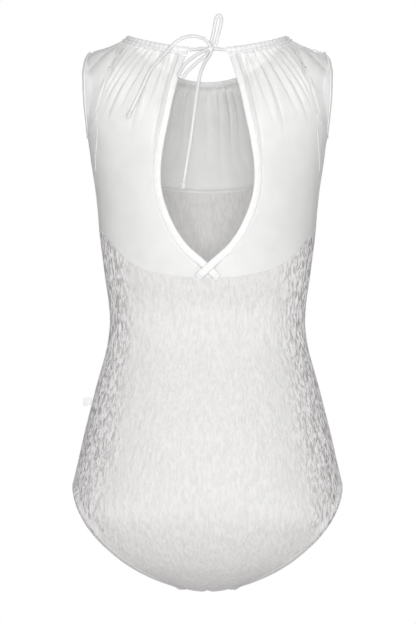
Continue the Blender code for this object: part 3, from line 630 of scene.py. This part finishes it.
def keyhole_frames(points):
    normals = torso_normals(points, 1)
    across = unit(np.cross(directions(points), normals))
    return normals, across if across[0, 0] > 0 else -across


def back_yoke_grid():
    """Outer points of the left back yoke, from the keyhole binding to the shoulder seam."""
    line = keyhole_line(200)
    _, across = keyhole_frames(line)
    left = line + across * (KEYHOLE_BINDING_WIDTH / 2 + GAP + ROUND_EASE)
    inner = neck_seam(1, left[0, 0], BACK_GATHERS * COLUMNS_PER_GATHER + 1)
    left = left[left[:, 2] < inner[0, 2] - CHORD_EASE]
    left = left[left[:, 0] > YOKE_FOOT]
    foot_share = YOKE_FOOT / torso(YOKE_FOOT_DROP, "half_width")
    foot_angle = asin(foot_share ** (torso(YOKE_FOOT_DROP, "squareness") / 2))
    foot = seam_points(np.array([foot_angle]), 1)
    inner[0] = at_x(left[0, 0], -inner[0, 2], 1)
    left = onto_torso(np.concatenate([inner[:1], left, foot]), 1)
    left = along(left, ROW_SHARES[1])
    below = seam_points(np.linspace(foot_angle, pi / 2, 60), 1)
    below[0] = left[-1]
    underarm = armhole_seam(1, 60)[::-1]
    drops = np.linspace(-below[-1, 2], -underarm[0, 2], 30)[1:-1]
    side_seam = section_point(np.full(28, pi / 2), drops, 1)
    path = np.concatenate([below, side_seam, underarm])
    outer = evenly(path, len(inner))
    underarm_share = 1 - lengths(underarm)[-1] / lengths(path)[-1]
    outer[0], outer[-1] = left[-1], underarm[-1]
    right = shoulder_seam(inner[-1], outer[-1], 1)
    return fan(inner, outer, left, right, 1, (underarm_share,))


def front_yoke_grid():
    """Outer points of the front yoke, from one shoulder seam to the other."""
    inner = neck_seam(-1, 0, FRONT_GATHERS * COLUMNS_PER_GATHER + 1)
    underarm = armhole_seam(-1, 60)
    angles = np.linspace(pi / 2, -pi / 2, 90)
    below = seam_points(angles, -1)
    drops = np.linspace(-underarm[-1, 2], -below[0, 2], 14)[1:-1]
    side_seam = section_point(np.full(12, pi / 2), drops, -1)
    half = np.concatenate([underarm, side_seam])
    whole = np.concatenate([half, below, mirrored(half)[::-1]])[::-1]
    outer = evenly(whole, len(inner))
    outer[0], outer[-1] = whole[0], whole[-1]
    underarm_share = lengths(underarm)[-1] / lengths(whole)[-1]
    right = shoulder_seam(inner[-1], outer[-1], -1)
    left = mirrored(right)
    inner[0], outer[0] = left[0], left[-1]
    return fan(inner, outer, left, right, -1, (underarm_share, 1 - underarm_share))


def casing_path():
    """Neck edge from the left mouth round the front to the right mouth."""
    left = neckline(1, CASING_MOUTH, 14)
    front = neckline(-1, 0, 40)[::-1]
    left[-1, 1] = 0
    front[0, 1] = front[-1, 1] = 0
    return np.concatenate([left, front[1:-1], mirrored(left)[::-1]])


def finer(grid, rows, columns):
    """The same surface with more rows and columns."""
    for count in (rows, columns):
        flat = grid.reshape(len(grid), -1)
        places = np.linspace(0, len(grid) - 1, count + 1)
        fine = spline(np.arange(len(grid)), flat, places)
        grid = np.swapaxes(fine.reshape(count + 1, -1, 3), 0, 1)
    return grid


def finer_ring(path, count):
    """The same closed path with more points."""
    path = np.concatenate([path[-2:], path, path[:3]])
    return spline(np.arange(len(path)), path, np.linspace(2, len(path) - 3, count + 1))[:-1]


def show(made):
    bpy.context.scene.collection.objects.link(made)


def link(made, slot, *nodes):
    """Put a piece on the body and hide the solids that it stands for; slot, its finish, is not used."""
    show(made)
    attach(made, BODY)
    if nodes:
        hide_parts(*nodes)


def mesh_object(name, vertices, faces, material):
    mesh = bpy.data.meshes.new(name)
    mesh.from_pydata(np.asarray(vertices, float).tolist(), [], faces)
    mesh.shade_smooth()
    mesh.set_sharp_from_angle(angle=radians(60))
    mesh.materials.append(material)
    mesh.update()
    return bpy.data.objects.new(name, mesh)


def solid(name, vertices, faces, material):
    """Closed piece with its faces turned out."""
    made = mesh_object(name, vertices, faces, material)
    shape = bmesh.new()
    shape.from_mesh(made.data)
    bmesh.ops.recalc_face_normals(shape, faces=shape.faces[:])
    if shape.calc_volume(signed=True) < 0:
        bmesh.ops.reverse_faces(shape, faces=shape.faces[:])
    shape.to_mesh(made.data)
    shape.free()
    return made


def tube_faces(rings, sides, base=0, closed=False):
    """Faces of a tube whose rings of points follow each other from a first index."""
    faces = []
    for i in range(rings if closed else rings - 1):
        near, far = base + i * sides, base + (i + 1) % rings * sides
        for k in range(sides):
            after = (k + 1) % sides
            faces.append((near + k, near + after, far + after, far + k))
    if not closed:
        faces.append(tuple(base + k for k in reversed(range(sides))))
        faces.append(tuple(base + (rings - 1) * sides + k for k in range(sides)))
    return faces


def relief(grid, raised):
    """The grid with its points moved out of the cloth by the given heights."""
    return grid + grid_normals(grid) * raised[..., None]


def tucked(grid, edge):
    """The grid with one more row past an edge, tucked under what the edge is sewn to."""
    reach, sunk = TUCKS[edge]

    def turned(rows):
        """The edge's row first, and back again."""
        return {"top": rows, "bottom": rows[::-1], "first": np.swapaxes(rows, 0, 1)}[edge]

    rows, normals = turned(grid), turned(grid_normals(grid))
    past = rows[0] + unit(rows[0] - rows[1]) * reach - normals[0] * sunk
    return turned(np.concatenate([past[None], rows]))


def shell(name, grid, wall, material):
    """Thin cloth from a fine grid of outer points."""
    rows, columns, _ = grid.shape
    normals = grid_normals(grid)
    count = rows * columns
    index = np.arange(count).reshape(rows, columns)
    quads = np.stack([index[:-1, :-1], index[:-1, 1:], index[1:, 1:], index[1:, :-1]], axis=-1)
    quads = quads.reshape(-1, 4)
    rim = [*index[0], *index[1:, -1], *index[-1, -2::-1], *index[-2:0:-1, 0]]
    edge = np.array([(a, b, b + count, a + count) for a, b in zip(rim, rim[1:] + rim[:1])])
    i, j = rows // 2, columns // 2
    turn = np.cross(grid[i, j + 1] - grid[i, j], grid[i + 1, j] - grid[i, j])
    if np.dot(turn, normals[i, j]) < 0:
        quads = quads[:, ::-1]
    else:
        edge = edge[:, ::-1]
    faces = np.concatenate([quads, quads[:, ::-1] + count, edge])
    vertices = np.concatenate([grid.reshape(-1, 3), (grid - normals * wall).reshape(-1, 3)])
    return mesh_object(name, vertices, faces.tolist(), material)


def band(name, frames, profile, material, closed=False):
    """Band swept along a path by (across, out) pairs, one list for all or one a place."""
    path, normals, across = (part[:, None] for part in frames)
    rings = path + across * profile[..., :1] + normals * profile[..., 1:]
    faces = tube_faces(*rings.shape[:2], closed=closed)
    return solid(name, rings.reshape(-1, 3), faces, material)


def round_profile(start, width, wall, proud, points=5):
    """Section of a folded strip: flat faces and two round edges."""
    radius = min(wall / 2, width / 2)
    middle = proud - wall / 2
    outline = []
    for centre, first in ((start + radius, 180), (start + width - radius, 0)):
        for k in range(points):
            turn = radians(first + 90 - 180 * k / (points - 1))
            outline.append((centre + radius * cos(turn), middle + wall / 2 * sin(turn)))
    return np.array(outline)


def stitches(name, path, normals, size, lift, material):
    """Row of small thread stitches along a path, joined into one piece."""
    pitch, length, thread = size
    run = lengths(path)
    places = (np.arange(int(run[-1] / pitch)) + 0.5) * pitch
    centre = at_run(run, path, places)
    heading = unit(at_run(run, path, places + STITCH_AHEAD) - centre)
    normal = unit(at_run(run, normals, places))
    side = np.cross(normal, heading)
    centre, heading, normal, side = (part[:, None, None] for part in (centre, heading, normal, side))
    offset, share = np.array(STITCH_RINGS).T[..., None, None]
    turn = np.linspace(0, 2 * pi, STITCH_SIDES, endpoint=False)[:, None]
    middle = centre + heading * offset * length + normal * (lift - abs(offset) * thread / 2)
    rings = middle + (side * np.cos(turn) + normal * np.sin(turn)) * share * thread / 2
    faces = []
    for k in range(len(places)):
        faces += tube_faces(len(STITCH_RINGS), STITCH_SIDES, k * len(STITCH_RINGS) * STITCH_SIDES)
    return solid(name, rings.reshape(-1, 3), faces, material)


def feed(tree, node, inputs):
    """Set each input to a value, or link it where another node's output is given."""
    for name, value in inputs.items():
        if isinstance(value, bpy.types.NodeSocket):
            tree.links.new(value, node.inputs[name])
        else:
            node.inputs[name].default_value = value
    return node


def nodes_of(name):
    made = bpy.data.materials.new(name)
    made.use_nodes = True
    tree = made.node_tree
    return made, tree, tree.nodes["Principled BSDF"]


def add_node(tree, kind, inputs, **settings):
    node = tree.nodes.new("ShaderNode" + kind)
    for name, value in settings.items():
        setattr(node, name, value)
    return feed(tree, node, inputs)


def mapped(tree, stretch=1, rotation=(0, 0, 0)):
    """Places on the piece; a stretch under 1 draws a pattern out along the height."""
    place = add_node(tree, "TexCoord", {}).outputs["Object"]
    inputs = {"Vector": place, "Scale": (1, 1, stretch), "Rotation": rotation}
    return add_node(tree, "Mapping", inputs).outputs["Vector"]


def noise_node(tree, scale, detail=3, stretch=1, roughness=0.5, distortion=0.0):
    inputs = {"Vector": mapped(tree, stretch), "Scale": scale, "Detail": detail}
    inputs |= {"Roughness": roughness, "Distortion": distortion}
    return add_node(tree, "TexNoise", inputs).outputs["Fac"]


def ramp(tree, factor, stops):
    made = add_node(tree, "ValToRGB", {"Fac": factor})
    for element, (place, colour) in zip(made.color_ramp.elements, stops):
        element.position = place
        element.color = (*colour, 1)
    return made.outputs["Color"]


def blend(tree, factor, first, second):
    return add_node(tree, "Mix", {"Factor": factor, 6: first, 7: second}, data_type="RGBA").outputs[2]


def bump(tree, height, strength, distance, under=None):
    inputs = {"Height": height, "Strength": strength, "Distance": distance}
    if under is not None:
        inputs["Normal"] = under
    return add_node(tree, "Bump", inputs).outputs["Normal"]


def span(tree, factor, low, high, start=0.0, end=1.0):
    inputs = {"Value": factor, "From Min": start, "From Max": end, "To Min": low, "To Max": high}
    return add_node(tree, "MapRange", inputs).outputs["Result"]


def velvet_material():
    """Crushed velvet, whose pile relief shows most where the cloth turns to the side; there its streaks
    carry painted shade and painted highlights, and under the seat its tone carries painted shade.
    """
    made, tree, shader = nodes_of("velvet_crushed_painted_light")
    streaks = noise_node(tree, 350, stretch=0.26, roughness=0.55, distortion=0.8)
    patches = noise_node(tree, 85, stretch=0.45, distortion=0.8)
    nap = noise_node(tree, 1800, detail=2, stretch=0.5)
    facing = add_node(tree, "NewGeometry", {}).outputs["Normal"]
    parts = add_node(tree, "SeparateXYZ", {"Vector": facing}).outputs
    level = add_node(tree, "Math", {0: parts["X"]}, operation="ABSOLUTE").outputs["Value"]
    # Mask for painted light: turned is where the cloth turns to the side, where the tone carries painted
    # shade and painted highlights and the relief grows.
    turned = span(tree, level, 0.0, 1.0, 0.5, 0.93)
    # Mask for painted shade: under is where the cloth faces down under the seat.
    under = span(tree, parts["Z"], 1.0, 0.0, -0.28, -0.07)
    # The first ramp is the velvet's own tone, the second painted shade under the seat, the third painted
    # shade and painted highlights at the sides.
    flat_tone, under_seat_painted_shade_tone, side_painted_shade_and_highlight_tone = (ramp(tree, streaks, stops) for stops in VELVET_TONES_WITH_PAINTED_LIGHT)
    low = bump(tree, patches, 0.6, 0.003)
    crisp = span(tree, streaks, 0.0, 1.0, 0.36, 0.62)
    middle = bump(tree, crisp, span(tree, turned, 0.3, 1.0), 0.0009, low)
    feed(tree, shader, {
        "Base Color": blend(tree, turned, blend(tree, under, flat_tone, under_seat_painted_shade_tone), side_painted_shade_and_highlight_tone),
        "Roughness": span(tree, streaks, 0.85, 0.45),
        "Normal": bump(tree, nap, 0.3, 0.0003, middle),
        "Sheen Weight": 0.3, "Sheen Roughness": 0.35, "Specular IOR Level": 0.35,
    })
    return made


def sheer_material(name, alpha, shade=1.0):
    """Fine stretch mesh, smooth and half see-through; a shade under 1 darkens its tones as painted shade."""
    made, tree, shader = nodes_of(name)
    net = add_node(tree, "TexVoronoi", {"Vector": mapped(tree, 1.3), "Scale": 1300}).outputs["Distance"]
    soft = noise_node(tree, 40)
    stops = [(place, tuple(part * shade for part in tone)) for place, tone in MESH_TONES]
    feed(tree, shader, {
        "Base Color": ramp(tree, soft, stops), "Roughness": span(tree, soft, 0.42, 0.56),
        "Normal": bump(tree, net, 0.25, 0.0002), "Alpha": alpha, "Sheen Weight": 0.15,
    })
    return made


def smooth_cloth(name, look):
    """Close knitted trim, with a fine rib along one way."""
    low, high, scale, strength = look
    made, tree, shader = nodes_of(name)
    place = mapped(tree, rotation=(0, RIB_TURN, 0))
    inputs = {"Vector": place, "Scale": scale, "Distortion": 1.5, "Detail": 2}
    rib = add_node(tree, "TexWave", inputs).outputs["Fac"]
    soft = noise_node(tree, 120)
    feed(tree, shader, {
        "Base Color": ramp(tree, soft, ((0.3, low), (0.7, high))), "Roughness": span(tree, soft, 0.4, 0.58),
        "Normal": bump(tree, rib, strength, 0.0002), "Sheen Weight": 0.1,
    })
    return made


def make_camera():
    """Straight behind the garment, level with its middle."""
    data = bpy.data.cameras.new("camera")
    data.sensor_width = SENSOR
    data.lens = SENSOR * CAMERA_DISTANCE / FRAME_HEIGHT
    data.clip_end = CAMERA_CLIP
    camera = bpy.data.objects.new("camera", data)
    camera.location = (CAMERA_X, CAMERA_DISTANCE, CAMERA_Z)
    camera.rotation_euler = (pi / 2, 0, pi)
    show(camera)
    bpy.context.scene.camera = camera


def make_light(name, place, size, power):
    """Round soft light, turned to the middle of the garment."""
    data = bpy.data.lights.new(name, "AREA")
    data.shape = "DISK"
    data.size = size
    data.energy = power
    made = bpy.data.objects.new(name, data)
    made.location = place
    aim = Vector((0, 0, CAMERA_Z)) - Vector(place)
    made.rotation_euler = aim.to_track_quat("-Z", "Y").to_euler()
    made.visible_camera = False
    show(made)


def make_studio():
    """White backdrop, soft fill, the lights and the floor."""
    scene = bpy.context.scene
    scene.view_settings.view_transform = "Standard"
    scene.world = bpy.data.worlds.new("studio")
    scene.world.use_nodes = True
    tree = scene.world.node_tree
    backdrop = feed(tree, tree.nodes["Background"], {"Color": (1, 1, 1, 1), "Strength": 1.0})
    fill = add_node(tree, "Background", {"Color": FILL_COLOUR, "Strength": FILL_STRENGTH})
    seen = add_node(tree, "LightPath", {}).outputs["Is Camera Ray"]
    mix = add_node(tree, "MixShader", {"Fac": seen, 1: fill.outputs[0], 2: backdrop.outputs[0]})
    feed(tree, tree.nodes["World Output"], {"Surface": mix.outputs[0]})
    for light in LIGHTS:
        make_light(*light)
    material, tree, shader = nodes_of("floor_pale")
    feed(tree, shader, {"Base Color": ramp(tree, noise_node(tree, 3), FLOOR_TONES), "Roughness": 0.9})
    turn = np.linspace(0, 2 * pi, FLOOR_SIDES, endpoint=False)
    disc = np.stack([np.cos(turn), np.sin(turn), 0 * turn], axis=1) * FLOOR_RADIUS
    made = mesh_object("floor", disc, [range(FLOOR_SIDES)], material)
    made.location = (0, 0, FLOOR_Z)
    show(made)


def cord_path(route, points):
    """Smooth path of a cord through its route."""
    path = back_route(route)
    run = lengths(path)
    return evenly(spline(run, path, np.linspace(0, run[-1], 400)), points)


def cord_curve(name, path, material):
    curve = bpy.data.curves.new(name, "CURVE")
    curve.dimensions = "3D"
    curve.bevel_depth = CORD_DIAMETER / 2
    curve.bevel_resolution = 4
    curve.use_fill_caps = True
    line = curve.splines.new("POLY")
    line.points.add(len(path) - 1)
    for point, place in zip(line.points, path):
        point.co = (*place, 1)
    curve.materials.append(material)
    return bpy.data.objects.new(name, curve)


def knot(name, parts, material):
    """Several bent tubes joined into one piece; each part is (path, radius)."""
    vertices, faces = [], []
    turn = np.linspace(0, 2 * pi, KNOT_SIDES, endpoint=False)[:, None]
    for path, radius in parts:
        faces += tube_faces(len(path), KNOT_SIDES, len(vertices))
        up = np.array([0.0, 0.3, 1.0])
        for place, tangent in zip(path, directions(path)):
            side = np.cross(tangent, up)
            if np.linalg.norm(side) < 0.1:
                side = np.cross(tangent, (1.0, 0.0, 0.0))
            side = unit(side)
            up = np.cross(side, tangent)
            vertices += list(place + (side * np.cos(turn) + up * np.sin(turn)) * radius)
    made = solid(name, vertices, faces, material)
    link(made, "cord", name)
    return made


def winding(centre, axis, radius, turns, pitch, start, points=40):
    """Helix round an axis."""
    axis = unit(np.asarray(axis, float))
    side = unit(np.cross(axis, (0.0, 0.0, 1.0) if abs(axis[2]) < 0.9 else (1.0, 0.0, 0.0)))
    over = np.cross(axis, side)
    turn = np.linspace(0, 2 * pi * turns, points)[:, None] + start
    rise = np.linspace(-0.5, 0.5, points)[:, None] * pitch * turns
    return centre + axis * rise + radius * (np.cos(turn) * side + np.sin(turn) * over)


def build_tie(material):
    """Drawstring that comes out of the casing on each side and is tied in a bow."""
    for name, route in (("left", LEFT_TAIL), ("down", DOWN_TAIL)):
        path = back_route(route)
        heading = unit(path[-1] - path[-2])
        centre = path[-1] + heading * END_KNOT_REACH
        wrap = winding(centre, heading * 0.9 + np.array(END_LEAN), *END_WRAP)
        core = centre + heading * np.array(END_CORE) * MM
        parts = [(wrap, END_WRAP_RADIUS), (core, END_CORE_RADIUS)]
        knot("tie_end_" + name, parts, material)
    middle = back_route([KNOT_PLACE])[0]
    wraps = []
    for shift, axis, radius, turns, pitch, start in WRAPS:
        path = winding(middle + np.array(shift) * MM, axis, radius * MM, turns, pitch * MM, start)
        wraps.append((path, WRAP_RADIUS))
    bow = knot("bow_knot", wraps, material)
    for name, route, points, nodes, far_end, length in CORDS:
        path = cord_path(route, points)
        piece = cord_curve(name, path, material)
        link(piece, "cord", *nodes)


def crush(grid):
    """Low relief of the crushed pile."""
    points = grid.reshape(-1, 3)
    fine = [noise.fractal(Vector(p), *CRUSH_NOISE) for p in points * CRUSH_SCALE]
    broad = [noise.noise(Vector(p)) for p in points * WAVER_SCALE + WAVER_SHIFT]
    return (np.array(fine) * CRUSH_HEIGHT + np.array(broad) * WAVER_HEIGHT).reshape(grid.shape[:2])


def near_edges(grid, reach):
    """0 at the panel's edges, rising to 1 a little way in."""
    down, across = (np.minimum(np.arange(n), np.arange(n)[::-1]) for n in grid.shape[:2])
    return np.clip(down[:, None] / reach, 0, 1) * np.clip(across / reach, 0, 1)


def build_velvet(material):
    for name, node, side, flat, area in VELVET_CUTS:
        grid = finer(body_grid(side), *VELVET_FINE)
        grid = relief(grid, crush(grid) * near_edges(grid, SMOOTH_ROWS))
        notch = np.exp(-(grid[..., 0] / NOTCH_WIDTH) ** 2)
        grid[..., 2] += NOTCH_DEPTH * notch * np.clip((NOTCH_TOP - grid[..., 2]) / NOTCH_TALL, 0, 1)
        piece = shell(name, grid, VELVET_WALL, material)
        link(piece, "velvet", node)


def pleats(grid, count, height, seed, shoulder):
    """Gathers fanning from the neck seam, uneven, and none at a shoulder."""
    columns = grid.shape[1]
    steps = np.linalg.norm(np.diff(grid, axis=0), axis=2)
    run = np.concatenate([np.zeros((1, columns)), np.cumsum(steps, axis=0)])
    place = np.linspace(0, count, columns)
    knots = np.linspace(0, count, count + 1)
    rng = np.random.default_rng(seed)
    ranges = (DRIFTS, HEIGHTS, REACHES)
    drift, tall, long = (spline(knots, rng.uniform(*ends, count + 1), place) for ends in ranges)
    turn = 2 * pi * (place + drift)
    wave = 0.75 * np.cos(turn) - PLEAT_VALLEY * (0.5 - 0.5 * np.cos(turn + 0.7)) ** 7
    fine = FINE_HEIGHT * np.cos(2 * pi * (FINE_PITCH * place + drift + 0.3))
    fade = np.clip(1 - run / (PLEAT_REACH * long), 0, 1) ** 1.2
    fine_fade = np.clip(1 - run / (FINE_REACH * PLEAT_REACH), 0, 1) ** 1.5
    pressed = SEAM_PRESS + (1 - SEAM_PRESS) * np.clip(run / PRESS_REACH, 0, 1)
    tall = tall * np.clip(shoulder, 0, 1) * pressed
    return height * tall * (fade * wave + fine_fade * fine)


def sewn(grid, gathers, height, seed, shoulder):
    """Yoke cloth with its gathers, whose edges run on under the casing, the trims and the velvet."""
    return tucked(tucked(relief(grid, pleats(grid, gathers, height, seed, shoulder)), "top"), "bottom")


def build_yokes(material, front_material):
    shoulder = np.linspace(1, 0, BACK_YOKE_FINE[1] + 1) / BARE_SHARE
    grid = sewn(finer(back_yoke_grid(), *BACK_YOKE_FINE), BACK_PLEATS, PLEAT_HEIGHT, 5, shoulder)
    grid = tucked(grid, "first")
    for side, shape in (("left", grid), ("right", mirrored(grid))):
        piece = shell("back_mesh_" + side, shape, YOKE_CLOTH, material)
        link(piece, "mesh", "back_yoke_" + side)
    shoulder = (1 - np.abs(np.linspace(-1, 1, FRONT_YOKE_FINE[1] + 1))) / BARE_SHARE
    grid = sewn(finer(front_yoke_grid(), *FRONT_YOKE_FINE), FRONT_PLEATS, FRONT_PLEAT_HEIGHT, 9, shoulder)
    piece = shell("front_mesh", grid, YOKE_CLOTH, front_material)
    link(piece, "mesh", "front_yoke")


def build_allowances(material):
    """Turned-up edges of the velvet inside the yoke seams, which show pale through the mesh."""
    profile = round_profile(-1.0 * MM, 6.5 * MM, 0.8 * MM, -1.1 * MM)
    angles = np.linspace(-1, 1, 160) * radians(88)
    for name, side in (("back", 1), ("front", -1)):
        path = seam_points(angles, side)
        normals = torso_normals(path, side)
        frames = (path, normals, sideways(path, normals, np.zeros(3)))
        link(band("seam_allowance_" + name, frames, profile, material), "mesh")


def build_casing(material, thread):
    """Tube over the cord, puckered, and pressed flat below it along the stitch line."""
    path = casing_path()
    places = np.linspace(0, len(path) - 1, CASING_COUNT)
    fine, normals = (spline(np.arange(len(path)), part, places) for part in (path, edge_normals(path)))
    normals = unit(normals)
    across = sideways(fine, normals, WAIST_CORE)
    run = lengths(fine)
    drift = PUCKER_DRIFT * np.sin(run / PUCKER_DRIFT_REACH)
    pucker = PUCKER_HEIGHT * np.cos(2 * pi * run / PUCKER_PITCH + drift)
    centre = CASING_PROUD - CASING_WALL / 2
    profiles = []
    for ease in pucker:
        tube = CASING_TUBE + 0.7 * ease
        outline = []
        for turn in np.radians(np.linspace(270, 90, 9)):
            outline.append((CASING_TUBE_REACH * (1 + cos(turn)), centre + tube * sin(turn)))
        for down, tube_share, flat_share, share in CASING_SECTION:
            outline.append((down * MM, centre + tube_share * tube + flat_share * CASING_FLAT + share * ease))
        profiles.append(outline)
    piece = band("neck_casing_cloth", (fine, normals, across), np.array(profiles), material)
    link(piece, "casing", "neck_casing")
    seam = fine + across * 7.5 * MM + normals * (centre + 1.0 * MM)
    link(stitches("casing_stitches", seam, normals, *CASING_STITCH, thread), "casing")


def both_sides(left, right):
    """Side names with the frames of each side, the right ones mirrored."""
    return (("left", left), ("right", [mirrored(part) for part in right]))


def trim(name, slot, node, frames, profile, cloths, stitch, rows, closed=False):
    """Sewn strip with its rows of stitches; each row is its name and how far from the path it runs."""
    link(band(name, frames, profile, cloths[0], closed), slot, node)
    for row, place in rows:
        link(stitches(row, frames[0] + frames[2] * place, frames[1], *stitch, cloths[1]), slot)


def build_keyhole(cloths):
    line = keyhole_line(220)
    past = np.arange(1, 9)[:, None] * unit(line[-1] - line[-2]) * 0.75 * MM
    line = np.concatenate([line, onto_torso(line[-1] + past, 1)])
    normals, across = keyhole_frames(line)
    left_over = lengths(line)[-1] - lengths(line)
    rise = np.clip((CROSSING_START - left_over) / CROSSING_RISE, 0, 1)
    sink = np.clip(left_over / (9 * MM), 0, 1)
    rise = (rise * rise * (3 - 2 * rise) * sink * (2 - sink))[:, None]
    profile = round_profile(-KEYHOLE_BINDING_WIDTH / 2, KEYHOLE_BINDING_WIDTH, BINDING_WALL, BINDING_PROUD)
    under, over = ((line + normals * rise * lift, normals, across) for lift in (UNDER_LIFT, OVER_LIFT))
    for side, frames in both_sides(under, over):
        rows = ((f"keyhole_stitches_{side}_outer", 3.7 * MM), (f"keyhole_stitches_{side}_inner", -3.9 * MM))
        trim("keyhole_strip_" + side, "binding", "keyhole_binding_" + side, frames, profile, cloths,
             TRIM_STITCH, rows)


def build_armholes(cloths):
    edge = armhole(200)
    frames = (edge, *armhole_frames(edge))
    profile = round_profile(0, ARMHOLE_BINDING_WIDTH, BINDING_WALL, BINDING_PROUD)
    for side, frames in both_sides(frames, frames):
        rows = (("armhole_stitches_" + side, 4.9 * MM),)
        trim("armhole_strip_" + side, "binding", "armhole_binding_" + side, frames, profile, cloths,
             TRIM_STITCH, rows, closed=True)


def build_hems(cloths):
    rings = [np.concatenate([back, front[-2:0:-1]]) for back, front in zip(leg_edge(1), leg_edge(-1))]
    rings[0][[0, LEG_ROWS], 1] = 0
    path, normals, across = (finer_ring(ring, 260) for ring in rings)
    frames = (path, unit(normals), unit(across))
    profile = round_profile(0, HEM_WIDTH + ROUND_EASE, HEM_WALL + 0.2 * MM, 0.7 * MM, 7)
    for side, frames in both_sides(frames, frames):
        rows = ((f"hem_stitches_{side}_upper", 7.4 * MM), (f"hem_stitches_{side}_lower", 5.2 * MM))
        trim("hem_" + side, "velvet", "leg_hem_" + side, frames, profile, cloths,
             HEM_STITCH, rows, closed=True)


def build_label(material):
    """Blank tab folded double and sewn into the left side seam."""
    high, low = LABEL_DROPS
    start = float(torso((high + low) / 2, "half_width")) + GAP
    rows, columns = 12, 14
    wall = LABEL_WALL * 0.45
    reach = LABEL_LENGTH - wall
    outline = [(start + reach * k / (columns - 1), wall) for k in range(columns)]
    for k in range(1, 6):
        turn = radians(90 - 180 * k / 6)
        outline.append((start + reach + wall * cos(turn), wall * sin(turn)))
    outline += [(start + reach * (1 - k / (columns - 1)), -wall) for k in range(columns)]
    vertices = []
    for i in range(rows + 1):
        level = -(high + (low - high) * i / rows)
        for x, y in outline:
            share = (x - start) / LABEL_LENGTH
            wave = 0.5 * MM * sin(2.2 * share + i * 0.1) * share
            vertices.append((x, y + wave, level - 0.5 * MM * share))
    link(solid("side_tab", vertices, tube_faces(rows + 1, len(outline)), material), "tab", "side_label")


def main():
    make_camera()
    build_tie(smooth_cloth("cord_white", CORD_CLOTH))
    velvet = velvet_material()
    sheer = sheer_material("mesh_sheer", MESH_ALPHA)
    sheer_front = sheer_material("mesh_sheer_front_painted_shade", FRONT_MESH_ALPHA, FRONT_MESH_PAINTED_SHADE)
    binding = smooth_cloth("binding_white", BINDING_CLOTH)
    thread = smooth_cloth("thread_white", THREAD_CLOTH)
    build_velvet(velvet)
    build_yokes(sheer, sheer_front)
    build_allowances(sheer_front)
    build_casing(binding, thread)
    build_keyhole((binding, thread))
    build_armholes((binding, thread))
    build_hems((velvet, thread))
    build_label(smooth_cloth("tab_white", TAB_CLOTH))
    make_studio()


main()
